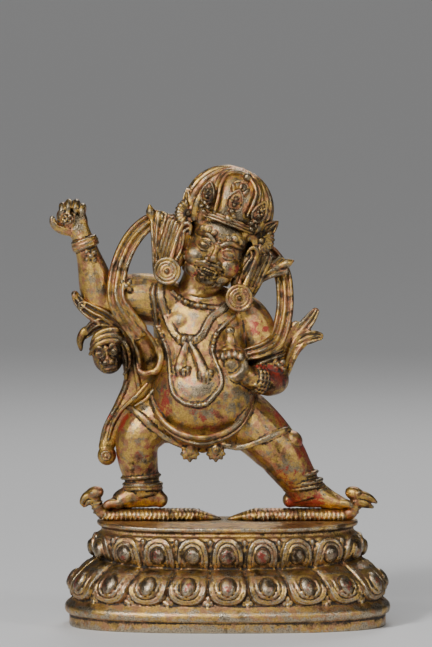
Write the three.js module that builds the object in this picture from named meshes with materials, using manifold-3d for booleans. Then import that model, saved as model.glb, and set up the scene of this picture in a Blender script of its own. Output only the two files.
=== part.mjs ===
// A small cast and gilt Vajrapani standing in a lunge on two snakes, on its own oval lotus base.
// Millimetres, +Z up, the viewer on the -Y side, origin in the middle of the base's underside.
// The figure, with its jewellery, scarf, hide and snakes, is one casting; the lotus base is the other.
import * as THREE from "three";
import { mergeVertices } from "three/addons/utils/BufferGeometryUtils.js";
import Module from "manifold-3d";

const wasm = await Module();
wasm.setup();

// Driving dimensions of the lotus base.
const BASE_HEIGHT = 68;
const RIM_HALF_WIDTH = 84.2;
const RIM_HALF_DEPTH = 42;
const DEPTH_SHARE = 0.85; // how much of each step outwards is also taken at the front and back
const OVAL_POWER = 2.6; // 2 is an ellipse, and more is squarer at the ends
const PETALS = 20;

// Driving dimensions of the figure.
const SEAT_GAP = 0.1; // between the figure's flat underside and the base
const HEAD_TILT = THREE.MathUtils.degToRad(20.5);
const HEAD_AT = [-8, -8, 243.4];
const FRONT = new THREE.Vector3(0, -1, 0);

const BRONZE = new THREE.MeshStandardMaterial({ color: 0x8d7446, roughness: 0.45, metalness: 0.8 });
const BASE_BRONZE = new THREE.MeshStandardMaterial({ color: 0x86703f, roughness: 0.5, metalness: 0.8 });

const { cos, sin, abs, sign, PI } = Math;

// What the joined skin may lose when its slivers are taken out.
const THINNING = 0.25;
const STEEPEST_TURN = 0.6;

// Geometry helpers

function circle(sides) {
  return Array.from({ length: sides }, (_, i) => [cos((2 * PI * i) / sides), sin((2 * PI * i) / sides)]);
}

// The cross-section of a scarf: a flat band with three soft ridges on the side that faces the viewer.
const FLUTED = [
  [-1, 0], [-0.75, 0.8], [-0.38, 0.1], [0, 0.8], [0.38, 0.1], [0.75, 0.8], [1, 0], [0, -0.9],
];
// The same band near its open end, where the middle is a deep channel.
const CHANNEL = [[-1, 0], [-0.75, 0.95], [-0.25, -0.3], [0.25, -0.3], [0.75, 0.95], [1, 0], [0, -0.9]];

function middle(ring) {
  return ring.reduce((sum, p) => sum.add(p), new THREE.Vector3()).divideScalar(ring.length);
}

// A closed skin over a row of closed rings of points, with a fan over each end.
function skin(rings, endTip = middle(rings.at(-1))) {
  const sides = rings[0].length;
  const points = [...rings.flat(), middle(rings[0]), endTip];
  const start = points.length - 2;
  const end = points.length - 1;
  const faces = [];
  for (let i = 0; i < sides; i++) {
    const next = (i + 1) % sides;
    faces.push(start, next, i);
    for (let k = 0; k < rings.length - 1; k++) {
      const a = k * sides;
      const b = a + sides;
      faces.push(a + i, a + next, b + i, a + next, b + next, b + i);
    }
    const last = (rings.length - 1) * sides;
    faces.push(end, last + i, last + next);
  }
  const geometry = new THREE.BufferGeometry().setFromPoints(points);
  return geometry.setIndex(faces);
}

// A section swept through stations [x, y, z, half width, half depth]. The width lies across the path in the
// plane of the picture and the depth points at the viewer.
function sweep(stations, section = circle(8)) {
  const places = new THREE.CatmullRomCurve3(stations.map(([x, y, z]) => new THREE.Vector3(x, y, z)));
  return skin(stations.map(([x, y, z, width, depth = width], k) => {
    const along = places.getTangent(k / (stations.length - 1));
    const across = along.clone().cross(FRONT).normalize();
    const out = across.clone().cross(along).normalize();
    return section.map(([a, b]) =>
      new THREE.Vector3(x, y, z).addScaledVector(across, a * width).addScaledVector(out, b * depth));
  }));
}

// An ellipsoid at a place, leaned in the plane of the picture.
function blob([x, y, z], [rx, ry, rz], lean = 0, [around, up] = [6, 4]) {
  return new THREE.SphereGeometry(1, around, up)
    .rotateX(PI / 2)
    .scale(rx, ry, rz)
    .rotateY(lean)
    .translate(x, y, z);
}

// A manifold solid from any closed geometry, with its faces pointing out. Corners in one place become one,
// and faces that shrink to a line or fold flat on each other are dropped.
const SAME_PLACE = 1e-4;
function solid(geometry) {
  const bare = new THREE.BufferGeometry().setAttribute("position", geometry.getAttribute("position"));
  if (geometry.index) bare.setIndex(geometry.index);
  const merged = mergeVertices(bare, SAME_PLACE);
  const corners = merged.index.array;
  const faces = new Map();
  for (let i = 0; i < corners.length; i += 3) {
    const face = [...corners.slice(i, i + 3)];
    if (new Set(face).size < 3) continue;
    const key = [...face].sort((m, n) => m - n).join();
    if (!faces.delete(key)) faces.set(key, face);
  }
  const build = (list) => new wasm.Manifold(new wasm.Mesh({
    numProp: 3,
    vertProperties: merged.attributes.position.array,
    triVerts: new Uint32Array(list.flat()),
  }));
  const made = build([...faces.values()]);
  return made.volume() < 0 ? build([...faces.values()].map(([p, q, r]) => [p, r, q])) : made;
}

function geometryOf(made) {
  const { vertProperties, triVerts, numProp } = made.getMesh();
  const points = new Float32Array((vertProperties.length / numProp) * 3);
  for (let i = 0; i < points.length / 3; i++) {
    points.set(vertProperties.subarray(i * numProp, i * numProp + 3), i * 3);
  }
  return new THREE.BufferGeometry()
    .setAttribute("position", new THREE.BufferAttribute(points, 3))
    .setIndex(new THREE.BufferAttribute(triVerts, 1));
}

// Where two folds of one skin meet in a point or along an edge, draws each of them back by a hair.
const HAIR = 0.02;
function drawApart(geometry) {
  const position = geometry.getAttribute("position");
  const places = Array.from({ length: position.count }, (_, i) =>
    new THREE.Vector3().fromBufferAttribute(position, i));
  const around = places.map(() => new THREE.Vector3());
  const corners = geometry.index.array;
  corners.forEach((corner, i) => {
    const next = i % 3 === 2 ? i - 2 : i + 1;
    around[corner].add(places[corners[next]]).sub(places[corner]);
  });
  const met = new Map();
  places.forEach((place, i) => {
    const key = place.toArray().map((v) => v.toFixed(3)).join();
    met.set(key, [...(met.get(key) ?? []), i]);
  });
  for (const i of [...met.values()].filter((group) => group.length > 1).flat()) {
    places[i].addScaledVector(around[i].normalize(), HAIR);
  }
  return new THREE.BufferGeometry().setFromPoints(places).setIndex(geometry.index);
}

// Thins a closed skin: a corner is drawn into a neighbour where that moves no face by more than the
// tolerance, turns none over and keeps the skin closed.
function thin(geometry, tolerance) {
  const position = geometry.getAttribute("position");
  const places = Array.from({ length: position.count }, (_, i) =>
    new THREE.Vector3().fromBufferAttribute(position, i));
  const faces = new Map();
  const facesAt = places.map(() => new Set());
  const corners = geometry.index.array;
  for (let i = 0; i < corners.length; i += 3) {
    faces.set(i, [...corners.slice(i, i + 3)]);
    faces.get(i).forEach((corner) => facesAt[corner].add(i));
  }
  const normal = ([p, q, r]) => {
    const side = places[q].clone().sub(places[p]);
    return side.cross(places[r].clone().sub(places[p])).normalize();
  };
  const neighbours = (u) => new Set([...facesAt[u]].flatMap((id) => faces.get(id)).filter((v) => v !== u));
  const cost = (u, v) => {
    const near = neighbours(v);
    if ([...neighbours(u)].filter((w) => near.has(w)).length !== 2) return Infinity;
    const move = places[v].clone().sub(places[u]);
    let worst = 0;
    for (const face of [...facesAt[u]].map((id) => faces.get(id))) {
      const before = normal(face);
      worst = Math.max(worst, abs(before.dot(move)));
      if (face.includes(v)) continue;
      const after = normal(face.map((w) => (w === u ? v : w)));
      if (!(before.dot(after) > STEEPEST_TURN)) return Infinity;
    }
    return worst;
  };
  for (let found = true; found;) {
    found = false;
    for (let u = 0; u < places.length; u++) {
      if (!facesAt[u].size) continue;
      const choices = [...neighbours(u)].map((v) => [cost(u, v), v]).sort((m, n) => m[0] - n[0]);
      const [worst, v] = choices[0];
      if (worst > tolerance) continue;
      for (const id of facesAt[u]) {
        const face = faces.get(id);
        if (face.includes(v)) {
          face.forEach((w) => w !== u && facesAt[w].delete(id));
          faces.delete(id);
        } else {
          faces.set(id, face.map((w) => (w === u ? v : w)));
          facesAt[v].add(id);
        }
      }
      facesAt[u].clear();
      found = true;
    }
  }
  return new THREE.BufferGeometry().setFromPoints(places).setIndex([...faces.values()].flat());
}

// Joins closed geometries into one solid, takes `cutter` away, and keeps the outer skin without slivers.
function fuse(geometries, cutter) {
  const joined = geometries.map((geometry) => solid(geometry)).reduce((sum, next) => sum.add(next));
  const pieces = joined.subtract(solid(cutter)).decompose();
  const outer = pieces.reduce((big, next) => (next.volume() > big.volume() ? next : big));
  return solid(drawApart(geometryOf(solid(thin(geometryOf(outer), THINNING)))));
}

function meshOf(name, made, material) {
  const geometry = geometryOf(made);
  geometry.computeVertexNormals();
  const mesh = new THREE.Mesh(geometry, material);
  mesh.name = name;
  return mesh;
}

// The lotus base

// A point of the oval that lies `step` outside the rim, at an angle of its formula.
function ovalPoint(angle, step, z) {
  const bend = (v, half) => half * sign(v) * abs(v) ** (2 / OVAL_POWER);
  return new THREE.Vector3(
    bend(cos(angle), RIM_HALF_WIDTH + step),
    bend(sin(angle), RIM_HALF_DEPTH + DEPTH_SHARE * step),
    z,
  );
}

// Turns a share of the way round the oval into the formula's angle. The front middle is 0.
const ROUND_SAMPLES = 1440;
const PITCH_STEP = 8; // how far outside the rim the petals are spaced out evenly
const walked = [0];
for (let i = 1; i <= ROUND_SAMPLES; i++) {
  const at = (k) => ovalPoint(-PI / 2 + (2 * PI * k) / ROUND_SAMPLES, PITCH_STEP, 0);
  walked.push(walked.at(-1) + at(i).distanceTo(at(i - 1)));
}
function angleAt(share) {
  const wanted = (share - Math.floor(share)) * walked.at(-1);
  const i = walked.findIndex((length) => length >= wanted);
  const part = i ? (wanted - walked[i - 1]) / (walked[i] - walked[i - 1]) : 0;
  return -PI / 2 + (2 * PI * (i ? i - 1 + part : 0)) / ROUND_SAMPLES;
}

// The plain mouldings below and above the petals. Each has a step outside the rim, a height at the front
// and how much higher it lies at the ends, because the long sides of the casting dip a little.
const FOOT = [
  [18.3, 0, 0], [18.9, 0.8, 0], [18.9, 6.4, 0.6], [21.2, 8, 1.2], [22, 9.6, 1.4], [21.8, 11.8, 1.6],
  [20.9, 13, 1.6], [16.2, 17.2, 1],
];
const RIM = [
  [-1, 59, 0], [-2.2, 62.6, 1.4], [0, 63.5, 1.7], [0.8, 65.4, 2], [-1.2, 66.4, 1.6], [-8, BASE_HEIGHT, 0],
];

// The petals from the lower tips to the upper tips. Each row gives a height at the front, its rise towards
// the ends, the half width of the petal, and how far its middle, its lip and the gap beside it stand out.
const PETAL_ROWS = [
  { height: 18, rise: 0.8, half: 4.6, middle: 16.8, lip: 16.4, gap: 15.6 },
  { height: 20.4, rise: 0.6, half: 8.4, middle: 18.4, lip: 17.6, gap: 15 },
  { height: 25, rise: 0.2, half: 10.6, middle: 18.9, lip: 18, gap: 14.4 },
  { height: 30, rise: 0.8, half: 10.9, middle: 17.4, lip: 16, gap: 13 },
  { height: 34, rise: 2, half: 10.6, middle: 13.6, lip: 11.8, gap: 9.8 },
  { height: 37.6, rise: 3.8, half: 9.8, middle: 6.8, lip: 5.2, gap: 3.6 },
  { height: 39.8, rise: 5, half: 9, middle: 0.9, lip: 0.5, gap: -0.7 },
  { height: 43.4, rise: 3.8, half: 9.6, middle: 3.2, lip: 2.4, gap: 1 },
  { height: 48, rise: 2, half: 9.6, middle: 5.2, lip: 3.9, gap: 2 },
  { height: 51.6, rise: 0.8, half: 9, middle: 5.4, lip: 4.2, gap: 2.3 },
  { height: 54.6, rise: 0.2, half: 7.2, middle: 4.3, lip: 3.8, gap: 2.2 },
  { height: 57.2, rise: 0, half: 3, middle: 1.4, lip: 1.3, gap: 0.9 },
];
const RISE_POWER = 3; // how late, on the way from the front to an end, a moulding rises

function raised(height, rise, angle) {
  return height + rise * abs(cos(angle)) ** RISE_POWER;
}

// Closes a strip between two rings, where the second may have twice as many points as the first.
function strip(low, high, lowSides, highSides) {
  const faces = [];
  const half = Math.min(lowSides, highSides);
  for (let i = 0; i < half; i++) {
    const a = [0, 1, 2].map((k) => low + ((i * lowSides) / half + k) % lowSides);
    const b = [0, 1, 2].map((k) => high + ((i * highSides) / half + k) % highSides);
    if (lowSides === highSides) faces.push(a[0], a[1], b[0], a[1], b[1], b[0]);
    else if (lowSides < highSides) faces.push(a[0], b[1], b[0], a[0], a[1], b[1], a[1], b[2], b[1]);
    else faces.push(a[0], a[1], b[0], a[1], b[1], b[0], a[1], a[2], b[1]);
  }
  return faces;
}

function lotusBase() {
  const angles = (places) =>
    Array.from({ length: PETALS }, (_, i) => places.map((place) => angleAt((i + place) / PETALS))).flat();
  const plain = angles([0, 0.5]);
  const plainRing = ([step, height, rise]) =>
    plain.map((angle) => ovalPoint(angle, step, raised(height, rise, angle)));
  const pitch = walked.at(-1) / PETALS;
  const petalRing = ({ height, rise, half, middle, lip, gap }) => {
    const lipAt = half / pitch;
    const steps = [middle, lip, gap, lip];
    return angles([0, lipAt, 0.5, 1 - lipAt]).map((angle, i) =>
      ovalPoint(angle, steps[i % 4], raised(height, rise, angle)));
  };
  const rings = [...FOOT.map(plainRing), ...PETAL_ROWS.map(petalRing), ...RIM.map(plainRing)];
  const starts = [];
  let count = 0;
  for (const ring of rings) {
    starts.push(count);
    count += ring.length;
  }
  const faces = rings.slice(1).flatMap((ring, k) =>
    strip(starts[k], starts[k + 1], rings[k].length, ring.length));
  for (let i = 0; i < plain.length; i++) {
    const next = (i + 1) % plain.length;
    faces.push(count, next, i, count + 1, starts.at(-1) + i, starts.at(-1) + next);
  }
  const points = [...rings.flat(), new THREE.Vector3(0, 0, 0), new THREE.Vector3(0, 0, BASE_HEIGHT)];
  return solid(new THREE.BufferGeometry().setFromPoints(points).setIndex(faces));
}

// Body, skirt and limbs

function torsoAndHips() {
  const trunk = [
    [-11, -2, 122, 24, 17], [-15, -8, 137, 31, 26], [-16.5, -10, 152, 32, 29], [-16, -6, 170, 32, 25.5],
    [-16, -3, 188, 32, 21], [-16.5, -2, 204, 31, 19], [-17, -2, 216, 20, 14.5], [-15.5, -4, 229, 12.5, 11],
  ];
  return [sweep(trunk, circle(16)), blob([-9, 2, 134], [37, 19, 18], 0, [10, 6])];
}

// The rolled upper edge of the skirt, slung under the belly.
const BELT = [
  [-49, -6, 156, 2.2], [-47, -22, 140, 2.4], [-36, -32, 129, 2.4], [-17.5, -35.4, 124, 2.4],
  [1, -31.5, 129, 2.4], [12, -22, 140, 2.4], [15, -8, 156, 2.2],
];

function skirt() {
  const left = [
    [-20, 0, 140, 20, 21], [-37, -4, 138, 20, 20], [-50, -6, 132.5, 17.5, 18], [-56, -7, 126, 16.5, 17],
  ];
  const right = [
    [2, 0, 139, 20, 20], [14, -3, 132, 18.6, 21], [24.6, -6, 122.6, 17, 18.4], [30.6, -7, 116, 16.2, 17.4],
  ];
  const paws = [-24.2, -7.6].map((x) =>
    thinRod([[x, -12, 123, 3, 3], [x, -15, 116, 5.4, 3.6], [x, -16, 110, 3.4, 2.6]]));
  return [
    ...[left, right].map((path) => sweep(path, circle(12))),
    sweep(BELT, circle(4)),
    ...paws,
  ];
}

// Each shin ends in a pair of anklets, modelled as swellings of the leg.
function legs() {
  const left = [
    [-47, -5, 133, 13], [-56, -9, 127.4, 14.4], [-58, -8, 118, 13.4], [-57, -6, 107, 12.4],
    [-55.4, -3, 97.4, 11.2], [-55, -2, 95.4, 13.6], [-55, -2, 92.4, 12], [-54.8, -2, 89, 13.2],
    [-54.4, -1, 86, 10.4],
  ];
  const right = [
    [24, -6, 124, 14], [34, -9, 116, 15], [40.8, -7.5, 105.4, 14], [45.2, -4.5, 98.4, 12.6],
    [47.2, -3, 96, 14.4], [48.8, -2.4, 92.6, 12.8], [50.6, -2, 89, 14], [51.2, -1, 85.6, 11.6],
  ];
  return [left, right].map((path) => sweep(path, circle(10)));
}

// A toe, finger, wire or other thin rod.
function thinRod(stations) {
  return sweep(stations, circle(5));
}

// A foot that points to one side: heel to instep, then five toes with the big one nearest the viewer.
function foot(heelToInstep, root, reach) {
  const way = sign(reach);
  const toes = [2.9, 2.2, 2.1, 2, 1.9].map((thick, i) => {
    const y = -9.6 + 3.7 * i;
    const tip = root[0] + reach * (1 - 0.06 * i);
    return thinRod([
      [root[0] - way * 6, y + 0.3, root[1] + 0.2, thick * 0.8],
      [tip - way * 2, y, root[1] - 0.4, thick * 0.9],
      [tip, y, root[1] - 1, thick * 0.4],
    ]);
  });
  return [sweep(heelToInstep), ...toes];
}

function feet() {
  const left = [
    [-43, -2, 80, 3, 4], [-48, -2, 82, 6, 7], [-59, -2.4, 83.2, 7, 8.4], [-67, -3, 81.4, 5.2, 8.6],
    [-74, -3.5, 79, 3, 8.8],
  ];
  const right = [
    [40, -2, 80, 3, 4], [45, -2, 82, 6.4, 7], [57, -2.4, 85, 8.4, 8.4], [67, -3, 83, 6.8, 8.6],
    [75, -3.5, 80.4, 4, 8.8],
  ];
  return [...foot(left, [-72.5, 79], -7), ...foot(right, [72.5, 79.8], 7.6)];
}

// The viewer's left arm is raised with a thunderbolt in the palm, and the other is bent before the chest.
// Armlets and bracelets are swellings of the arm.
function arms() {
  const raisedUpper = [
    [-32, 0, 207, 15, 14], [-47, -1, 212, 16.4, 14.6], [-62, -2, 212, 16.4, 14.4], [-80, -3, 209, 12.6, 12],
    [-88, -4, 206, 4, 4],
  ];
  const raisedFore = [
    [-80, -4, 206, 11], [-84, -5, 219, 11.2], [-88, -7, 234, 9.2], [-91, -8.4, 244, 7.2],
    [-91.8, -9, 246.4, 9.2], [-92.8, -9, 249.6, 8.8], [-94, -9.6, 252.6, 6.6, 5.8],
    [-97, -9.4, 259, 7, 4.6],
  ];
  const bentUpper = [
    [2, 0, 206, 10], [12, -2, 204, 10.6], [19, -4, 194, 11], [22.4, -6, 183, 12.2], [26.6, -7, 171, 11.2],
    [30, -8, 160.4, 10], [30.6, -8, 151.6, 4],
  ];
  const bentFore = [[31, -9, 160.5, 9.4], [22, -18, 160, 8], [16.4, -22, 161.6, 9], [11, -25, 163.4, 6.6]];
  return [
    sweep(raisedUpper, circle(10)),
    ...[raisedFore, bentUpper, bentFore].map((path) => sweep(path)),
    blob([-66.2, -14.6, 221.6], [4, 3.4, 4.6]),
  ];
}

function hands() {
  const thumb = thinRod([
    [-101, -10, 256.5, 3.8], [-108, -12, 258, 3.4], [-113.8, -14, 261.4, 2.7], [-114.4, -15, 267, 1.8],
  ]);
  const tips = [[-102.4, -107, 273.4], [-100, -102.6, 275.2], [-97.6, -98, 275.4], [-95.2, -94.6, 273]];
  const fingers = tips.map(([root, x, z]) =>
    thinRod([[root, -8, 263, 3.2], [x + 0.6, -9, z - 3.4, 2.8], [x, -13, z, 2.2], [x, -18, z - 4, 1.5]]));
  const curled = [0, 1, 2, 3].map((i) => {
    const y = -36 + 3.5 * i;
    return thinRod([[12.6, y, 169, 2.4], [8, y, 177, 2.4], [-0.4, y, 176, 2.4], [-2, y, 167, 1.6]]);
  });
  return [
    blob([-99.6, -9, 262.6], [8.8, 5, 9.6], -0.3, [8, 5]),
    thumb,
    ...fingers,
    blob([-103, -16, 265], [4, 5, 4]),
    blob([7, -27.5, 168.4], [8.6, 5.4, 8.6], 0, [8, 5]),
    ...curled,
    thinRod([[14, -30, 163.5, 3.4], [8, -33.4, 160.6, 3.2], [1.6, -34, 161, 2.6], [-3, -34, 165, 1.6]]),
    sweep([
      [0.6, -26, 175, 4.4, 3.6], [0.4, -26, 184, 3, 2.6], [1, -26, 189.5, 3.6, 3.2],
      [1.6, -26, 195, 1.2, 1.2],
    ], circle(6)),
  ];
}

// The head, in its own upright frame, leaned towards the bent arm at the end

// A chain, a brow or another line in relief, as a plain square cord.
function cord(stations) {
  return sweep(stations, circle(4));
}

function face() {
  const pair = [-1, 1].flatMap((side) => [
    blob([side * 8, -17, 3.6], [4.2, 3.8, 2.7], side * 0.12),
    cord([[side * 1, -21.4, 5.6, 1.6], [side * 7.4, -20.4, 9.4, 2], [side * 13.4, -15, 7.4, 1.4]]),
    cord([[side * 1, -20.8, -9.4, 1.3], [side * 6, -19, -9.8, 1.6], [side * 10.6, -14.6, -12.6, 1.1]]),
  ]);
  return [
    blob([0, -3, 1.5], [19, 18, 23.5], 0, [12, 7]),
    blob([0, -19.2, -3.4], [4.6, 5, 4.8]),
    ...pair,
    blob([0, -15.4, -13.6], [7, 5, 3.2]),
    blob([0, -13.6, -18.4], [6.4, 5.4, 4.4]),
  ];
}

function earsAndRings() {
  const profile = [[0, -1.6], [9.4, -1.4], [9.4, 1.6], [6.2, 0.8], [4.4, 2], [0, 2.8]];
  const disc = profile.map(([radius, height]) => new THREE.Vector2(radius, height));
  return [-1, 1].flatMap((side) => [
    thinRod([[side * 20.5, -1, 10, 2.6, 3], [side * 23, -2, 2, 3.4, 3], [side * 23.6, -7, -18, 2.4, 2.2]]),
    new THREE.LatheGeometry(disc, 12).rotateX(PI).translate(side * 25.2, -10, -23),
  ]);
}

// The combed hair stands up in one dome, with locks down behind each ear.
const LOCKS = 16;
const DOME = { x: -2.2, y: 3, z: 28.6, wide: 29.2, deep: 23 };
function hair() {
  const rings = [-0.5, 0, 0.45, 0.9, 1.3].map((rise) =>
    Array.from({ length: LOCKS * 2 }, (_, i) => {
      const turn = (PI * i) / LOCKS;
      const lock = 1 + (i % 2 ? 0.02 : -0.035);
      return new THREE.Vector3(
        DOME.x + DOME.wide * cos(rise) * cos(turn) * lock,
        DOME.y + DOME.deep * cos(rise) * sin(turn) * lock,
        DOME.z + DOME.wide * sin(rise),
      );
    }));
  const falls = [-1, 1].flatMap((side) => [0, 1].map((i) =>
    thinRod([
      [side * (22 + 2 * i), 2 + 4 * i, 20, 4, 6],
      [side * (27 + 1.4 * i), 4 + 3 * i, 2, 4, 6],
      [side * (24 + 2 * i), 4 + 3 * i, -16, 2.6, 5],
    ])));
  return [
    skin(rings, new THREE.Vector3(DOME.x, DOME.y, DOME.z + DOME.wide)),
    blob([0, 8, 6], [25, 15, 24], 0, [10, 6]),
    ...falls,
  ];
}

// A jewelled leaf of the crown, rounded at the foot and pointed at the tip.
function crownLeaf(x, y, z, width, height, lean) {
  const profile = [[-0.5, 0, 0.2], [-0.3, 0, 0.4], [-0.06, 0, 0.34], [0.14, 0.8, 0.5], [0.52, 1.6, 0.05]];
  return thinRod(profile.map(([up, back, half]) => [
    x + lean * height * up, y + back, z + height * up, width * half, 2.8 * half + 1.4,
  ]));
}

// A fan of pleated petals at the temple.
function fan(x, z) {
  const rays = 12;
  const outline = Array.from({ length: rays }, (_, i) => {
    const turn = (2 * PI * i) / rays;
    const radius = i % 2 ? 6.8 : 4.8;
    return [radius * cos(turn), radius * sin(turn)];
  });
  const leaves = [0, -6].map((y) => outline.map(([dx, dz]) => new THREE.Vector3(x + dx, y, z + dz)));
  return skin(leaves, new THREE.Vector3(x, -8.4, z));
}

function crown() {
  const arch = Array.from({ length: 7 }, (_, i) => {
    const turn = (PI * i) / 6;
    return [14 * cos(turn), -19.6 + 6 * sin(turn) + abs(cos(turn)) * 2.6, 35 + 15 * sin(turn), 1.6, 1.6];
  });
  const band = Array.from({ length: 9 }, (_, i) => {
    const turn = PI + (PI * i) / 8;
    return [21.8 * cos(turn), -2 + 18.6 * sin(turn), 20, 2, 3.6];
  });
  return [
    sweep(arch, circle(5)),
    crownLeaf(0, -21.6, 34.5, 13.5, 26, 0),
    ...[-1, 1].flatMap((side) => [
      crownLeaf(side * 17.6, -14, 33, 10, 20, side * 0.25),
      crownLeaf(side * 27, -3, 28, 7, 16, side * 0.3),
      fan(side * 28.6, 17.4),
    ]),
    blob([1, -10, 54], [3.2, 3.2, 3.2]),
    upright(band, [[-1, -1], [1, -1], [1, 1], [-1, 1]]),
  ];
}

// Sweeps a section whose second axis stays upright, for a band that goes round the head.
function upright(stations, section) {
  const rings = stations.map(([x, y, z, thick, high]) => {
    const out = new THREE.Vector3(x, y + 2, 0).normalize();
    return section.map(([a, b]) => new THREE.Vector3(x, y, z + b * high).addScaledVector(out, a * thick));
  });
  return skin(rings);
}

function head() {
  return [...face(), ...earsAndRings(), ...hair(), ...crown()].map((geometry) =>
    geometry.rotateY(HEAD_TILT).translate(...HEAD_AT));
}

// Scarf, crown ribbons, hide and jewellery

function scarf() {
  const leftLoop = [
    [-36, 2, 264.4, 3.6, 2.4], [-48, -1, 264.6, 5, 2.6], [-58, -5, 257, 5.8, 2.8],
    [-65.8, -10, 244.4, 6, 3], [-70.8, -15, 229.6, 6, 3], [-72, -19, 214, 6.2, 3],
    [-66.6, -20, 203, 6.6, 3], [-56.4, -19, 189.4, 7.2, 3.2],
  ];
  const leftEnd = [
    [-60, -17.6, 195, 4.6, 2.2], [-52.4, -18, 181, 7.9, 4.2], [-50.8, -16, 170, 7.9, 4.2],
    [-52, -15, 164, 6, 3.6],
  ];
  const rightLoop = [
    [17.9, 8, 248, 5, 2.4], [28.4, 5, 240, 5.6, 2.6], [35.6, 1.6, 228, 5.6, 2.8],
    [37.4, -2.4, 212, 5.6, 2.8], [36, -6, 198.4, 5.8, 3], [31.6, -13, 184.6, 5.8, 3],
    [22.6, -18, 178.6, 5.8, 3], [12.6, -16.4, 175, 5, 3],
  ];
  const fishtail = [
    [32.4, -6.4, 157.2, 3.6, 2.6], [37, -5, 168, 5, 3], [39.6, -5, 179, 6.2, 2.8],
    [49.4, -5, 191.4, 9.4, 2.2],
  ];
  const prongs = [
    [[44.6, -4.6, 188.6, 3.6, 1.7], [51.4, -4.8, 198.4, 3.4, 2], [57, -5, 207.6, 1.6, 1.4]],
    [[46, -5.4, 186, 3.6, 1.6], [54.4, -5.2, 188.4, 3.6, 2], [61.4, -5, 189.4, 1.6, 1.4]],
  ];
  return [
    ...[leftLoop, rightLoop, fishtail].map((path) => sweep(path, FLUTED)),
    sweep(leftEnd, CHANNEL),
    ...prongs.map(thinRod),
  ];
}

function crownRibbons() {
  const left = [
    [-45.6, -9, 234, 3.2, 2.4], [-46, -8, 247, 3, 2.4], [-45.6, -6, 258, 4.4, 2.4],
    [-44.6, -4, 267, 6.4, 2.2],
  ];
  const right = [
    [10, -11, 217.6, 3.2, 2.4], [19, -9, 225, 3.4, 2.4], [28, -7, 231, 4.8, 2.4], [35, -5, 234, 6.6, 2.2],
  ];
  return [
    ...[left, right].map((path) => sweep(path, FLUTED)),
    blob([-50, -4, 268.6], [3, 3, 5], -0.15),
    blob([39.6, -5, 236.4], [5.2, 3, 3.6], -0.2),
    thinRod([[-47, -3, 264.6, 2.6], [-29, -3, 264, 2.8]]),
    thinRod([[33, -3, 234, 2.8], [20, -2, 243, 2.8]]),
  ];
}

// The flayed hide hangs over the raised arm, with its head at the hip and its tail down to the knee.
function hide() {
  const shank = [
    [-100.8, -9, 219, 1.4], [-97, -10.6, 211, 4, 3.4], [-88, -13.6, 204.6, 5.6, 4.4],
    [-76, -15, 198, 6.4, 4.4], [-66.6, -12, 186, 7, 4.4],
  ];
  const back = [
    [-66.6, -11, 188, 7, 5], [-60, -8, 172, 8, 6], [-58.4, -6.6, 157, 9.4, 6.4], [-64.6, -5, 141, 8.4, 6],
    [-74, -4, 127, 6, 4.6], [-78.6, -5, 116, 4.8, 4],
  ];
  const brow = [
    [-88.6, -15.6, 183, 2.2], [-82.6, -21, 187, 3], [-75.6, -21, 187.8, 3], [-69, -16, 184.6, 2.2],
  ];
  return [
    sweep(shank, FLUTED),
    sweep(back),
    blob([-79, -6, 111.6], [6.2, 5, 6.4]),
    blob([-54, -4, 155], [15, 13, 14], 0.4, [8, 5]),
    blob([-78, -13, 179], [10.4, 9, 12.4], -0.2, [8, 6]),
    blob([-79, -19.6, 174], [5.4, 5.4, 4.6]),
    thinRod(brow),
    sweep([[-90.6, -12, 189, 4.4, 4], [-82, -16, 194.4, 5.8, 4.4], [-73, -15, 192, 5.4, 4.4]], FLUTED),
    thinRod([[-88, -12, 192, 3, 3], [-93.4, -12, 188, 3.6, 2.6], [-95, -12, 180, 1.6, 1.6]]),
  ];
}

function jewelleryAndKnot() {
  const choker = [
    [-37, -12, 217.4, 1.6], [-30, -18.4, 211.6, 1.6], [-20.6, -21.6, 207.6, 2.4], [-9, -21.6, 206, 1.6],
    [1, -17, 207, 1.6],
  ];
  const longChain = [
    [-49.4, -6, 216, 1.5], [-48.4, -14, 199, 1.5], [-42.6, -23.4, 186.4, 2], [-37.8, -31, 168, 1.5],
    [-36, -36.6, 155, 1.5], [-28.4, -40.8, 145.6, 1.5], [-18, -42, 142.8, 2], [-8.4, -39.4, 149, 1.5],
    [-5, -34.8, 163, 1.5], [-9.2, -29.6, 180, 2], [-8.6, -25, 192, 1.5], [5, -18.4, 206, 1.5],
  ];
  const straps = [
    [[-46, -10, 219, 2.4], [-42, -19, 206, 2.4], [-34, -24.6, 192, 2.4], [-26, -28, 184, 2.4]],
    [[3, -17, 212, 2.4], [-4, -21, 206, 2.4], [-13, -24.6, 195, 2.4], [-23, -28, 184, 2.4]],
  ];
  const paws = [
    [[-27, -28, 185, 2.6], [-29, -30.8, 175, 3.6], [-30.6, -34, 165, 2.6]],
    [[-23, -28, 185, 2.6], [-18.4, -31.4, 175, 3.4], [-15, -34.6, 164, 2.4]],
  ];
  return [
    ...[choker, longChain, ...straps].map(cord),
    ...paws.map(thinRod),
    blob([-25.2, -28.6, 185], [4.6, 3, 3.4]),
  ];
}

// The two snakes, flat below where they lie on the base, each thin at the tail and with its head raised

const SNAKE_GIRTH = { above: 4, half: 5.2, deep: 7.4 };
function snake(tailX, way) {
  const growth = [[0, 0.15], [8, 0.62], [18, 0.9], [32, 1], [46, 1], [60, 1], [76, 1]];
  return sweep(growth.map(([run, grown]) => [
    tailX + way * run, -2, BASE_HEIGHT + SNAKE_GIRTH.above * grown,
    SNAKE_GIRTH.half * grown, SNAKE_GIRTH.deep * grown,
  ]));
}

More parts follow.
